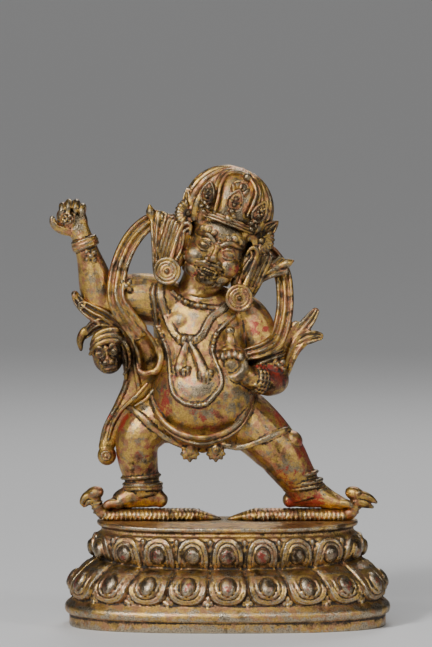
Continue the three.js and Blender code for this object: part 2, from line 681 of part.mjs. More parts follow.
function snakes() {
  const neckLeft = [
    [-74, -2, 71.6, 4.6, 6.4], [-82, -3, 72.6, 4.4, 5], [-85.6, -4, 79, 3.4, 4], [-87, -5, 86, 3.4, 4],
  ];
  const neckRight = [
    [72, -2, 71.6, 4.6, 6.4], [80, -3, 72.6, 4.6, 5], [83.4, -4, 79, 3.6, 4], [85.4, -5, 86, 3.6, 4],
  ];
  const upperJaw = [[84, -5, 85, 4, 4.6], [90.5, -5, 84.6, 3, 3.6], [97.4, -5, 80.6, 0.8, 1.2]];
  const lowerJaw = [[84, -5, 80, 3, 4], [89, -5, 79, 2.2, 3.2], [94.6, -5, 77, 0.8, 1.2]];
  return [
    snake(-4.5, -1),
    snake(0.5, 1),
    ...[neckLeft, neckRight, upperJaw, lowerJaw].map((path) => sweep(path, circle(6))),
    blob([-87.8, -5, 85.8], [6.8, 5.6, 4.6], -0.35),
    blob([-90.4, -5, 81.2], [5, 4, 2.4], -0.2),
    blob([84.6, -5, 85.8], [5.6, 5.2, 4.8], 0.3),
  ];
}

const CUT = 400; // a block wider than the figure, which flattens its underside
function figure() {
  const below = new THREE.BoxGeometry(CUT, CUT, CUT).translate(0, 0, BASE_HEIGHT + SEAT_GAP - CUT / 2);
  return fuse([
    ...torsoAndHips(), ...skirt(), ...legs(), ...feet(), ...arms(), ...hands(), ...head(),
    ...scarf(), ...crownRibbons(), ...hide(), ...jewelleryAndKnot(), ...snakes(),
  ], below);
}

const vajrapani = new THREE.Group();
vajrapani.add(meshOf("lotus_base", lotusBase(), BASE_BRONZE));
vajrapani.add(meshOf("vajrapani_figure", figure(), BRONZE));

export default vajrapani;
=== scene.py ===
from math import atan2, cos, pi, radians, sin, tau

import bmesh
import bpy
import numpy as np
from mathutils import Matrix, Vector
from mathutils.bvhtree import BVHTree


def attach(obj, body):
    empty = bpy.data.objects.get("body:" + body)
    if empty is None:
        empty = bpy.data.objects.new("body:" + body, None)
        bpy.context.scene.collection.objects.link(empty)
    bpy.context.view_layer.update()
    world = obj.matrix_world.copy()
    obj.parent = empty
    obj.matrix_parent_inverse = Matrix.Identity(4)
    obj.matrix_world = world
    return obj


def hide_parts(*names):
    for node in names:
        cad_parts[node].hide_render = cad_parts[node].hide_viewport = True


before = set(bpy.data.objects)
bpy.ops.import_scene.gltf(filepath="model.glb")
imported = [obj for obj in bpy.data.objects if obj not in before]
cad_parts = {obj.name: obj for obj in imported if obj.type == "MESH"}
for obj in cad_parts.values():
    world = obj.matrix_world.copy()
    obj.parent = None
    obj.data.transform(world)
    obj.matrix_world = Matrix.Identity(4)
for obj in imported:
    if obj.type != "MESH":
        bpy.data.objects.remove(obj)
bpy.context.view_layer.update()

# Camera, floor and lights
# The figure stands on a plain pale floor and is seen from a little above its waist, through a long lens from
# far off. One large soft lamp hangs high on the left, a weaker one on the right and one behind, under a dim
# sky. Far off, the floor curves up all round and is its own backdrop.
PHOTO_HEIGHT = 647
PIXEL = 0.00065  # metres that one pixel of the picture covers at the figure
FRAME_HEIGHT = 36  # millimetres of film
LOOK_AT = Vector((-0.0075, 0.0, 0.196))
CAMERA_AT = Vector((-0.0075, -3.5, 0.399))

camera = bpy.data.cameras.new("camera")
camera.sensor_fit = "VERTICAL"
camera.sensor_height = FRAME_HEIGHT
camera.lens = FRAME_HEIGHT * (CAMERA_AT - LOOK_AT).length / (PIXEL * PHOTO_HEIGHT)
camera.clip_end = 1000


def placed(name, data):
    made = bpy.data.objects.new(name, data)
    bpy.context.collection.objects.link(made)
    return made


def aimed(name, data, place):
    """A camera or a lamp at a place, turned to the figure's middle."""
    holder = placed(name, data)
    holder.location = place
    holder.rotation_euler = (LOOK_AT - Vector(place)).to_track_quat("-Z", "Y").to_euler()
    return holder


bpy.context.scene.camera = aimed("camera", camera, CAMERA_AT)
for name, place, power, size in (("key_lamp", (-1.1, -1.7, 1.35), 44, 0.42),
                                 ("fill_lamp", (1.5, -1.3, 0.9), 10, 0.4),
                                 ("back_lamp", (0.3, 1.6, 1.5), 12, 0.8)):
    light = bpy.data.lights.new(name, "AREA")
    light.energy = power
    light.size = size
    aimed(name, light, place)
sky = bpy.data.lights.new("sky_lamp", "SUN")
sky.energy = 1.15
sky.angle = radians(50)
placed("sky_lamp", sky).rotation_euler = (radians(38), 0, radians(-15))

world = bpy.data.worlds.new("studio")
world.use_nodes = True
world.node_tree.nodes["Background"].inputs["Color"].default_value = (0.62, 0.62, 0.63, 1)
world.node_tree.nodes["Background"].inputs["Strength"].default_value = 0.08
bpy.context.scene.world = world

FLAT_REACH = 6  # metres from the figure to where the floor begins to rise
FAR_REACH = 260
FAR_RISE = 20
floor_bm = bmesh.new()
profile = [floor_bm.verts.new((reach, 0,
                               FAR_RISE * (max(reach - FLAT_REACH, 0) / (FAR_REACH - FLAT_REACH)) ** 2))
           for reach in (0, 3, FLAT_REACH, 10, 16, 24, 36, 54, 80, 120, 180, FAR_REACH)]
edges = [floor_bm.edges.new(pair) for pair in zip(profile, profile[1:])]
bmesh.ops.spin(floor_bm, geom=profile + edges, cent=(0, 0, 0), axis=(0, 0, 1), angle=tau, steps=96,
               use_merge=True)
bmesh.ops.remove_doubles(floor_bm, verts=floor_bm.verts, dist=1e-4)
bmesh.ops.recalc_face_normals(floor_bm, faces=floor_bm.faces)
if sum(face.normal.z for face in floor_bm.faces) < 0:
    bmesh.ops.reverse_faces(floor_bm, faces=floor_bm.faces)
floor_mesh = bpy.data.meshes.new("floor")
floor_bm.to_mesh(floor_mesh)
floor_mesh.shade_smooth()
floor = placed("floor", floor_mesh)
pale = bpy.data.materials.new("pale_floor")
pale.use_nodes = True
pale.node_tree.nodes["Principled BSDF"].inputs["Base Color"].default_value = (0.7, 0.7, 0.7, 1)
pale.node_tree.nodes["Principled BSDF"].inputs["Roughness"].default_value = 0.6
floor_mesh.materials.append(pale)

# Body, limbs and skirt
# The trunk with its round belly, the raised and the bent arm, both legs in the lunge, hands and feet. It is
# one lost-wax casting, so it is built up from rods and lumps of wax that are then run together as one skin.
MM = 0.001
FRONT = Vector((0, -1, 0))
UP = Vector((0, 0, 1))
LEFT_AND_RIGHT = (-1, 1)
ROUND = [(cos(tau * k / 20), sin(tau * k / 20)) for k in range(20)]


def curve(stations, steps):
    """Places, half widths and half depths along a smooth curve through stations [x, y, z, width, depth]."""
    rows = np.array([[*station, station[-1]][:5] for station in stations], float)
    rows = np.vstack([2 * rows[0] - rows[1], rows, 2 * rows[-1] - rows[-2]])
    share = np.linspace(0, 1, steps, endpoint=False)[:, None]
    spans = []
    for before, start, end, after in zip(rows, rows[1:], rows[2:], rows[3:]):
        spans.append(start + 0.5 * share
                     * (end - before + share
                        * (2 * before - 5 * start + 4 * end - after + share
                           * (3 * (start - end) + after - before))))
    return np.vstack([*spans, rows[-2]])


def extruded(piece, lid):
    """Draws a new lid out of a bmesh's open end, still in the same place."""
    made = bmesh.ops.extrude_face_region(piece, geom=[lid])["geom"]
    return next(item for item in made if isinstance(item, bmesh.types.BMFace))


def rod(wax, stations, section=ROUND, steps=5, ends=(1, 1), front=FRONT):
    """A rod of wax drawn by extruding one ring to the next. Its section's depth points at the viewer."""
    path = curve(stations, steps)
    path[:, 3:] = np.maximum(path[:, 3:], 0.15)
    path *= MM
    along = np.gradient(path[:, :3], axis=0)
    along /= np.linalg.norm(along, axis=1)[:, None]
    rings = [(Vector(row[:3]), Vector(way), row[3], row[4]) for row, way in zip(path, along)]

    def cap(end, sign, blunt):
        place, way, wide, deep = end
        turns = [pi / 2 * k / 4 for k in (1, 2, 3, 3.7)] if blunt else []
        return [(place + way * sign * blunt * (wide + deep) / 2 * sin(t), way, wide * cos(t), deep * cos(t))
                for t in turns]

    rings = cap(rings[0], -1, ends[0])[::-1] + rings + cap(rings[-1], 1, ends[1])
    piece = bmesh.new()
    bmesh.ops.create_circle(piece, cap_ends=True, segments=len(section), radius=MM)
    lid = next(iter(piece.faces))
    for number, (place, way, wide, deep) in enumerate(rings):
        if number:
            lid = extruded(piece, lid)
        across = way.cross(front).normalized()
        out = across.cross(way)
        for corner, (a, b) in zip(lid.verts, section):
            corner.co = place + across * a * wide + out * b * deep
    bmesh.ops.recalc_face_normals(piece, faces=piece.faces)
    pour(wax, piece)


def rods(wax, *paths, sides=(1,), **more):
    """Several rods drawn alike, on one side or mirrored on both."""
    for side in sides:
        for path in paths:
            rod(wax, [[side * x, *rest] for x, *rest in path], **more)


def pour(wax, piece, matrix=None):
    """Adds one bmesh to another."""
    if matrix:
        bmesh.ops.transform(piece, matrix=matrix, verts=piece.verts)
    shell = bpy.data.meshes.new("shell")
    piece.to_mesh(shell)
    wax.from_mesh(shell)
    piece.free()
    bpy.data.meshes.remove(shell)


def stood(place, lean=0.0, yaw=0.0):
    """The matrix for a place in millimetres, a lean in the picture's plane and a turn about the upright."""
    turn = Matrix.Rotation(yaw, 4, "Z") @ Matrix.Rotation(lean, 4, "Y")
    return Matrix.Translation(Vector(place) * MM) @ turn


def lump(wax, place, radii, lean=0.0, nod=0.0, fine=3):
    """An egg of wax, leaned in the plane of the picture and nodded towards the viewer."""
    size = Vector(radii if hasattr(radii, "__len__") else (radii,) * 3) * MM
    matrix = stood(place, lean) @ Matrix.Rotation(nod, 4, "X") @ Matrix.Diagonal((*size, 1))
    bmesh.ops.create_icosphere(wax, subdivisions=fine, radius=1, matrix=matrix)


def lumps(wax, *rows, sides=(1,)):
    """Upright eggs (x, y, z, half width, depth and height, fineness), on one side or mirrored on both."""
    for side in sides:
        for x, y, z, wide, deep, high, fine in rows:
            lump(wax, (side * x, y, z), (wide, deep, high), fine=fine)


def hoop(wax, place, radius, wire, along=UP):
    """A closed ring of round wire, spun about a line through its middle."""
    piece = bmesh.new()
    bmesh.ops.create_circle(piece, segments=8, radius=wire * MM,
                            matrix=Matrix.Translation((radius * MM, 0, 0)) @ Matrix.Rotation(pi / 2, 4, "X"))
    bmesh.ops.spin(piece, geom=piece.edges[:], cent=(0, 0, 0), axis=(0, 0, 1), angle=tau, steps=32,
                   use_merge=True)
    bmesh.ops.remove_doubles(piece, verts=piece.verts, dist=MM * 0.01)
    bmesh.ops.recalc_face_normals(piece, faces=piece.faces)
    pour(wax, piece, stood(place) @ Vector(along).to_track_quat("Z", "Y").to_matrix().to_4x4())


def smoothed(places, ends, rounds):
    """Moves every point halfway to the middle of its neighbours, again and again."""
    count = len(places)
    first, second = ends.T
    number = np.bincount(ends.ravel(), minlength=count)[:, None]
    for _ in range(rounds):
        total = np.stack([np.bincount(first, places[second, k], count) + np.bincount(
            second, places[first, k], count) for k in range(3)],
                         axis=1)
        places = (places + total / number) / 2
    return places


def mark(mesh, name, values):
    mesh.attributes.new(name, "FLOAT", "POINT").data.foreach_set("value", values.astype(np.float32))


def numbers(items, name, kind, width):
    values = np.empty(len(items) * width, kind)
    items.foreach_get(name, values)
    return values.reshape(-1, width)


# Surfaces facing this way (or straight away from it) get no painted shade; SIDE_SHADE is how dark the sides
# are painted.
UNSHADED_WAY = (-0.2, -0.93, 0.3)
SIDE_SHADE = 0.5


def wear_and_shade_marks(mesh, marks):
    """Marks where a skin stands out (to 1) or lies deep (to 0), and the spots [x, y, z, reach, strength].

    The tarnish mark also takes painted shade: surfaces turned to the sides are darkened, and those facing the
    front, up and left, or the back, stay light.
    """
    places = numbers(mesh.vertices, "co", float, 3)
    normals = numbers(mesh.vertices, "normal", float, 3)
    ends = numbers(mesh.edges, "vertices", int, 2)
    level = places
    depths = []
    for rounds in (5, 14, 60):  # fine lines, single ornaments and whole limbs
        level = smoothed(level, ends, rounds)
        depths.append(((places - level) * normals).sum(axis=1) / MM)
    near, wide, far = depths
    # The roundness of a limb is taken off again, so that only what stands out of it counts.
    near = near - np.clip(0.06 * far, -abs(near), abs(near))
    wide = wide - np.clip(0.24 * far, -abs(wide), abs(wide))
    mark(mesh, "relief", np.clip(0.5 + 2.8 * near + 1.1 * wide + 0.05 * far, 0, 1))
    for kind in ("lacquer", "rubbed", "tarnish_and_shade"):
        values = np.zeros(len(places))
        for x, y, z, reach, strength in marks.get(kind, ()):
            away = np.linalg.norm(places - np.array((x, y, z)) * MM, axis=1) / (reach * MM)
            values += strength * np.clip(1.4 - away, 0, 1)
        if kind == "tarnish_and_shade":
            # painted shade: the sides of every form are darkened, as if turned away from the lamps
            values += SIDE_SHADE * (1 - abs(normals @ np.array(UNSHADED_WAY))) ** 2
        mark(mesh, kind, values)


def evaluated(thing):
    return bpy.data.meshes.new_from_object(thing.evaluated_get(bpy.context.evaluated_depsgraph_get()))


def cast(name, wax, voxel, triangles, node, finish, marks):
    """Runs a heap of wax together into one skin and makes it the piece that stands for a CAD node."""
    heap = bpy.data.meshes.new(name + "_wax")
    wax.to_mesh(heap)
    wax.free()
    rough = placed(name + "_wax", heap)
    remesh = rough.modifiers.new("one skin", "REMESH")
    remesh.mode = "VOXEL"
    remesh.voxel_size = voxel * MM
    relax = rough.modifiers.new("relax", "SMOOTH")
    relax.factor = 0.5
    relax.iterations = 2
    made = evaluated(rough)
    count = sum(len(face.vertices) - 2 for face in made.polygons)
    rough.data = made
    rough.modifiers.clear()
    if count > triangles:
        thin = rough.modifiers.new("thin", "DECIMATE")
        thin.ratio = triangles / count
        thin.use_collapse_triangulate = True
        made = evaluated(rough)
    bpy.data.objects.remove(rough)
    made.name = name
    made.shade_smooth()
    made.materials.append(finish)
    wear_and_shade_marks(made, marks)
    piece = placed(name, made)
    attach(piece, "root")
    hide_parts(node)


body = bmesh.new()
rod(body,
    [[-11, -1, 118, 20, 13], [-12, -4, 126, 28, 20], [-14.6, -8, 138, 32, 27], [-16.2, -10, 151, 33, 29.5],
     [-16.4, -7, 165, 31.6, 27], [-16.4, -4, 178, 30.6, 23], [-16.8, -2, 192, 31.4, 20.5],
     [-17, -1, 204, 31, 18.4], [-17, -1, 214, 24, 15.6], [-17, -2, 221, 14.6, 12.4],
     [-15, -5, 232, 12.4, 11]],
    section=[(cos(tau * k / 40), sin(tau * k / 40)) for k in range(40)], ends=(0, 0))
lumps(body, (-14, -13, 147, 27, 25, 22, 4), (-7, 5, 134, 35, 17, 17, 4))
for side in LEFT_AND_RIGHT:
    lump(body, (-17 + side * 12, -9.8, 197), (14, 10.6, 11), lean=side * 0.15, fine=4)
    lump(body, (-9 + side * 15, 12, 130), (17, 13.6, 16), fine=4)
    lump(body, (-17 + side * 15, 13, 206), (12, 7, 13), fine=4)
rod(body,
    [[-30, 0, 204, 15, 14], [-42, -1, 209.6, 16.4, 14.6], [-54, -2, 212, 16.8, 14.8],
     [-66, -2.4, 212, 16, 14.4], [-76, -3, 210.4, 14.4, 13.4], [-82, -3.4, 208, 12.6, 12]],
    ends=(0, 0.9))
rod(body,
    [[-80.4, -4, 205, 11.4], [-82.6, -4.6, 212, 11.8], [-85, -5.6, 221, 11.4], [-87.4, -6.8, 231, 9.8],
     [-90, -8, 240, 8], [-92.6, -9, 248, 7], [-94.4, -9.6, 253, 6.6, 5.8], [-97.4, -9.4, 259, 7.4, 5.4]],
    ends=(0.6, 1))
rod(body,
    [[0, -1, 204, 12, 11], [10, -2, 204.4, 11.4, 11], [17, -3.4, 198, 11.4, 11], [20.4, -5, 189, 12, 11.6],
     [23.4, -6.4, 179, 12, 11.6], [27, -7.6, 168, 11, 11], [29.4, -8, 160.6, 10.6, 10.6]],
    ends=(0.4, 0.85))
rod(body,
    [[30, -9, 160, 10], [26.4, -13.6, 159, 9.4], [21.4, -18.4, 159.6, 8.2], [16.4, -22.4, 161.6, 7.2],
     [11, -25.4, 164, 7]],
    front=UP)
# Raised hand: the palm faces forwards, the fingers curl over the thunderbolt.
lump(body, (-99.4, -9, 263), (8.8, 5.4, 10.6), lean=-0.3, fine=4)
lump(body, (-106, -9.6, 265), (4.8, 4, 6.4), lean=-0.3)
rod(body,
    [[-101, -10, 256.8, 3.8], [-106.4, -11.2, 257.6, 3.6], [-110.6, -12.6, 259.6, 3],
     [-112.8, -13.8, 262.4, 2.5], [-113.4, -14.4, 265, 1.8]])
for root_x, x, z in ((-104, -107, 273.6), (-101, -102.8, 275.6), (-98, -98, 275.6), (-95.2, -94, 273)):
    rod(body,
        [[root_x, -8, 263, 2.9], [(root_x + x) / 2, -8, 268.4, 2.8], [x + 0.4, -9.4, z - 1.2, 2.4],
         [x, -13, z - 0.4, 2.2], [x - 0.2, -16.4, z - 3.2, 2], [x - 0.4, -16.2, z - 6, 1.7]])
# Bent hand: seen from the palm, a shallow bowl with a thick rim and the fingertips along its top.
lump(body, (2.8, -26, 170.4), (10, 5.6, 10), fine=4)
rim = [(158, 2.1), (178, 2.4), (200, 2.5), (225, 2.6), (250, 2.9), (275, 3.3), (300, 3.8), (325, 3.9),
       (350, 3.4), (375, 3), (398, 2.6)]
rod(body,
    [[2.8 + 7.8 * cos(radians(turn)), -30, 170.2 + 7.6 * sin(radians(turn)), thick] for turn, thick in rim])
rod(body,
    [[-6.4, -27, 176, 2.2], [-2.6, -28, 179.6, 2.4], [3, -28.4, 180.8, 2.5], [8.6, -28, 179.6, 2.4],
     [11.6, -27, 176.4, 2.2]])
for x, z in ((-3, 176.4), (1, 177.6), (5, 177.6), (8.6, 176.2)):
    rod(body, [[x, -28, z + 1.6, 2.2], [x, -31.4, z + 1.4, 2.3], [x, -33, z - 0.6, 2]])
rod(body,
    [[-18, 1, 140, 20, 20], [-30, -1, 139, 20, 20], [-40, -3.6, 136.6, 19, 19], [-49, -5.6, 132.6, 17, 17.6],
     [-55, -7, 127, 15.6, 16.4]],
    ends=(0, 0.9))
rod(body,
    [[-49, -6, 131, 14], [-55, -8.4, 127.4, 15], [-58.2, -8.6, 121, 14.6], [-58.8, -7.4, 113, 13.6],
     [-57.8, -5.6, 105, 12.8], [-56.2, -3.8, 98, 11.6], [-55, -2.4, 92, 10.9], [-53.6, -1.6, 85, 10.4]],
    ends=(0, 0))
rod(body,
    [[2, 1, 138, 19, 20], [10, -1.4, 134.6, 19, 20.4], [18, -4, 128.6, 18, 19.6],
     [25.4, -6.2, 121.6, 17, 18.4], [31, -7.4, 115.4, 16, 17.4]],
    ends=(0, 0.8))
rod(body,
    [[26, -6.4, 121, 15], [32.8, -8.6, 114.8, 15.6], [37.4, -8.4, 108, 15], [42, -6.6, 101, 13.6],
     [46.6, -4, 94, 12.2], [50, -2, 87, 11.6], [51.4, -1.6, 83, 11.2]],
    ends=(0, 0))
lump(body, (-58, -16, 128), (8.6, 6.6, 7.6))
lump(body, (41.4, -12.4, 120), (7.4, 8, 7.4), lean=0.6)


def foot_wax(wax, heel, toe, way, instep):
    """One foot from heel to toes, which point to one side. The big toe is nearest the viewer."""
    rod(wax,
        [[heel, -2, 80.8, 5, 5.4], [heel + way * 5, -2, 83.2, 7.4, 7], [heel + way * 12, -2.2, 84.8, 8.8, 8],
         [heel + way * 19, -2.6, 83.4 + instep / 2, 7.6 + instep / 2, 8.4],
         [heel + way * 26, -3, 81.6, 6.4, 8.7], [toe - way * 3, -3.4, 79.8, 4.8, 8.8],
         [toe, -3.4, 79, 3.8, 8.6]],
        ends=(0.8, 0.5))
    for number, thick in enumerate([2.9, 2.5, 2.5, 2.4, 2.2]):
        y = -9.6 + 3.5 * number
        reach = toe + way * (5.4 - 0.55 * number)
        rod(wax,
            [[toe - way * 5, y, 80, thick * 0.8], [toe - way * 1, y, 79.8, thick * 0.9],
             [reach - way * 3, y, 79.4, thick], [reach - way, y, 78.6, thick * 0.9]])
        lump(wax, (reach - way * 1.2, y, 80.4), (1.7, thick * 0.66, 0.9))


foot_wax(body, -43, -74, -1, 0.6)
foot_wax(body, 40, 75, 1, 1.6)

# Skirt, anklets, armlets and bracelets, in the same wax as the body
# The tiger skin round the hips ends in a thin raised hem across each thigh and two paws below the crotch, and
# its rolled edge is slung under the belly. Rings of wire are wound on the wrists, arms and ankles.
rod(body,
    [[-51, 6, 164, 1.6], [-50, -10, 154, 1.7], [-47, -21.6, 143, 1.8], [-41.4, -29.4, 134.6, 1.9],
     [-31.6, -35, 127.6, 2], [-18, -37.4, 124.4, 2], [-5, -36, 126.6, 2], [5.6, -31, 132.4, 1.9],
     [12, -23, 141, 1.8], [15.4, -13, 150, 1.7], [16.6, 0, 158, 1.6]],
    steps=8)
rod(body,
    [[-51, 9, 160.6, 1], [-50.4, -10, 150.4, 1], [-47, -21.4, 139.6, 1.1], [-40, -29.4, 130, 1.2],
     [-29.6, -34, 123.4, 1.2], [-17.8, -35.6, 120.4, 1.2], [-5.6, -34.6, 122.6, 1.2],
     [5.8, -30.6, 128.4, 1.2], [13, -24, 137, 1.1], [17.4, -14.6, 147, 1], [19, 0, 155, 1]],
    steps=8)
HEMS = [[[-67, -8, 142.6], [-62, -17, 141.4], [-55, -22.4, 136.6], [-47.6, -23.8, 129.4], [-39, -22.4, 122.4],
         [-30, -18.6, 118]],
        [[-3, -21, 118.4], [8, -24, 117], [19, -25.4, 120.4], [28.6, -24, 124.4], [36, -19.6, 127.4],
         [39.4, -15, 128.2]]]
for hem in HEMS:
    rod(body, [[*place, 2, 0.9] for place in hem], steps=8)
for x in (-24.4, -7.6):
    rod(body, [[x, -12, 124, 4, 3], [x, -15, 119.6, 4.4, 3.4], [x, -17, 115.6, 5.6, 3.6]])
    lump(body, (x, -19, 114.6), (5.4, 2.6, 4))
    hoop(body, (x, -21.4, 115.2), 2.2, 0.7, along=FRONT)
    lump(body, (x, -21.4, 115.2), 1.1, fine=2)
    for reach, turn in ((5.4, 200), (5.6, 232), (6, 270), (5.6, 308), (5.4, 340)):
        way = Vector((cos(radians(turn)), -0.1, sin(radians(turn))))
        rod(body,
            [[*(Vector((x, -18.8, 114.4)) + way * reach * share), wide]
             for share, wide in ((0.4, 2.2), (0.8, 2.1), (1.05, 1.2))])
lumps(body, (-16, -14, 117, 5, 4, 4.4, 3))


def flower(wax, place, size):
    """Four grains of metal soldered round a fifth."""
    x, y, z = place
    lump(wax, (x, y - size * 0.3, z), size * 0.9, fine=2)
    for turn in (pi / 4, 3 * pi / 4, 5 * pi / 4, 7 * pi / 4):
        lump(wax, (x + 1.45 * size * cos(turn), y + 0.2, z + 1.45 * size * sin(turn)), size * 0.85, fine=2)


RINGS = [((-91.8, -8.6, 246.4), 7.9, 1.3, -0.34), ((-92.4, -8.8, 248.6), 7.9, 1.4, -0.34),
         ((-93.2, -9, 250.9), 7.6, 1.2, -0.34), ((-56.4, -3.4, 96.6), 12.3, 1.2, -0.08),
         ((-55.2, -2.4, 91.6), 12.2, 1.3, -0.02), ((-55, -2.4, 89), 12, 1.2, 0),
         ((45.6, -4, 97.4), 13, 1.2, -0.2), ((48.4, -3, 92.4), 13, 1.4, -0.18),
         ((49.6, -2.6, 89.6), 12.8, 1.2, -0.14), ((22.8, -6.4, 180), 12.4, 1, -0.3),
         ((24, -6.8, 176.6), 12.6, 1.4, -0.32), ((25.4, -7, 173), 12.4, 1, -0.36)]
for place, radius, wire, lean in RINGS:
    hoop(body, place, radius, wire, along=(sin(lean), 0, cos(lean)))
for place in ((-88.6, -15.4, 240.6), (-65.6, -17.8, 221.4), (33.4, -17, 170), (-56.4, -14.6, 101.4),
              (43.6, -15.6, 102.4)):
    flower(body, place, 2.3)
FOREARM_WAY = Vector((-25, -18, 6)).normalized()
FOREARM_SIDE = FOREARM_WAY.cross(UP).normalized()
BEADS = 18
for number in range(3):
    middle = Vector((17, -21.4, 161.4)) - FOREARM_WAY * 2.6 * number
    hoop(body, middle, 8.2 + 0.2 * number, 0.9, along=FOREARM_WAY)
    for turn in (tau * k / BEADS for k in range(BEADS)):
        way = FOREARM_SIDE * cos(turn) + FOREARM_WAY.cross(FOREARM_SIDE) * sin(turn)
        lump(body, middle + way * (8.6 + 0.2 * number), 1.2, fine=2)

# Straps, paws, chains and choker on the body
# The hide is tied over the chest by two straps in a knot with its forepaws hanging from it, and strings of
# cast beads hang round the neck and down to the belly. They lie on the skin and are one casting with it.
LOOK_DOWN = 0.058  # slope of the viewer's sight
skin = BVHTree.FromBMesh(body)


def seen(x, z, proud=0.0):
    """The place on the skin that the viewer sees at (x, z) of the picture's plane, in millimetres."""
    hit = skin.ray_cast(Vector((x, -120, z + 120 * LOOK_DOWN)) * MM, Vector((0, 1, -LOOK_DOWN)))[0] / MM
    return [hit.x, hit.y - proud, hit.z]


def chain(places, wire, beads, bead):
    rod(body, [[*seen(x, z, wire * 0.4), wire] for x, z in places], steps=6)
    for x, z in beads:
        lump(body, seen(x, z, bead * 0.45), (bead, bead * 0.9, bead), fine=2)


STRAP = [(-1, 0), (-0.94, 0.75), (-0.7, 1), (0, 0.86), (0.7, 1), (0.94, 0.75), (1, 0), (0.9, -0.8), (0, -1),
         (-0.9, -0.8)]
STRAPS = [[(-42.6, 221.4), (-43.4, 215.5), (-42.2, 208.6), (-40, 201.5), (-37.4, 194.6), (-33.6, 188.6),
           (-28, 185)],
          [(-1, 208), (-4.8, 204.4), (-10.1, 200.4), (-13.6, 194.6), (-16.6, 188.8), (-21.6, 184.8)]]
for strap in STRAPS:
    rod(body, [[*seen(x, z, 0.3), 2.2, 1.4] for x, z in strap], section=STRAP)
KNOT = [(-28.2, 185.6, 0.7, (2.5, 2.3, 3.6), 0.25), (-23.8, 185.6, 0.7, (2.5, 2.3, 3.6), -0.2),
        (-31.6, 185.4, 0.4, (1.7, 1.6, 3), -0.25), (-20.6, 185.4, 0.4, (1.7, 1.6, 3), 0.25)]
for x, z, proud, radii, lean in KNOT:
    lump(body, seen(x, z, proud), radii, lean=lean)
PAWS = [([(-27, 182.4, 1.9), (-28.6, 177, 2.7), (-29.9, 171, 3.6), (-30.3, 167.8, 4)],
         [(-35, 165.4), (-31.9, 164), (-28.6, 163.8), (-25.6, 165)]),
        ([(-23.6, 182.4, 1.8), (-20.6, 177, 2.4), (-18, 171, 3), (-15.6, 165, 3.6)],
         [(-17.9, 161.6), (-15.2, 160.4), (-12.6, 161), (-10.8, 163)])]
for leg, claws in PAWS:
    rod(body, [[*seen(x, z, 0.7), wide, 1.7] for x, z, wide in leg])
    for x, z in claws:
        lump(body, seen(x, z + 1.8, 0.9), (1.7, 1.6, 2.3), fine=2)
        lump(body, seen(x, z - 1, 0.6), (0.75, 0.9, 2), fine=2)
chain([(-35.5, 216.5), (-31.6, 212.9), (-27, 210.2), (-21.1, 208), (-16.6, 207.4), (-10.8, 206.7),
       (-4.2, 206.7), (1, 208)],
      1.1, [(-31, 212.5), (-27, 210.2), (-23, 208.6), (-19, 207.6), (-15, 207.2)], 2.2)
for rise, wire in ((217.4, 1.3), (214.6, 0.8)):
    rod(body,
        [[-15.6 + 13.6 * cos(turn), -3 - 13.2 * sin(turn), rise - 4.6 * sin(turn) ** 2, wire]
         for turn in (pi * k / 8 for k in range(9))])
chain([(-47.6, 220.6), (-48.5, 215.8), (-47.9, 211), (-47.1, 205.4), (-46.5, 200), (-45.4, 193.7),
       (-43.2, 189.4), (-41.3, 184.6), (-38.7, 177.5), (-37.7, 168.4), (-37, 159.3), (-34.8, 150.8),
       (-29.3, 145.6), (-23.8, 143.7), (-18.6, 143.7), (-13.7, 144.6), (-8.2, 150.2), (-3.9, 156.7),
       (-4.4, 163.8), (-7.5, 171), (-9.8, 178.1), (-9.4, 182.3), (-8.2, 187.2), (-5.9, 191.1), (-1.3, 195.9),
       (4.2, 200.9)],
      1.2,
      [(-45.4, 193.7), (-43.2, 189.4), (-41.4, 185.2), (-20.6, 143.4), (-17.4, 143.5), (-14, 144.2),
       (-9.4, 181), (-8.8, 185), (-7.2, 189)],
      1.9)

# Bell and thunderbolt
# The hand before the chest holds a bell by its grip, which ends above the fist in a lotus knob, and the
# raised palm holds a four-pronged thunderbolt. Both were modelled in the wax and cast with the hands.
lumps(body, (1.8, -26, 185.6, 4, 3.6, 5, 3), (1.6, -26.4, 189.8, 2.9, 2.6, 1, 3),
      (1.6, -26.4, 193, 3.3, 3, 2.9, 3), (-103.4, -15.6, 265, 3.6, 3.2, 3.6, 3),
      (-103.4, -19.4, 265, 1.3, 1.3, 1.3, 2))
hoop(body, (-103.4, -17.6, 265), 3.4, 0.7, along=FRONT)
for number in range(4):
    turn = pi / 4 + pi / 2 * number
    lump(body, (-103.4 + 2.6 * cos(turn), -18.4, 265 + 2.6 * sin(turn)), (1.2, 1.3, 1.2), fine=2)
for x, z in ((14.8, 165.4), (13.6, 162), (16.4, 161.4), (15.2, 158.4), (18.2, 158), (17, 164)):
    lump(body, (x, -28 - 0.12 * (x - 12), z), 1.7, fine=2)


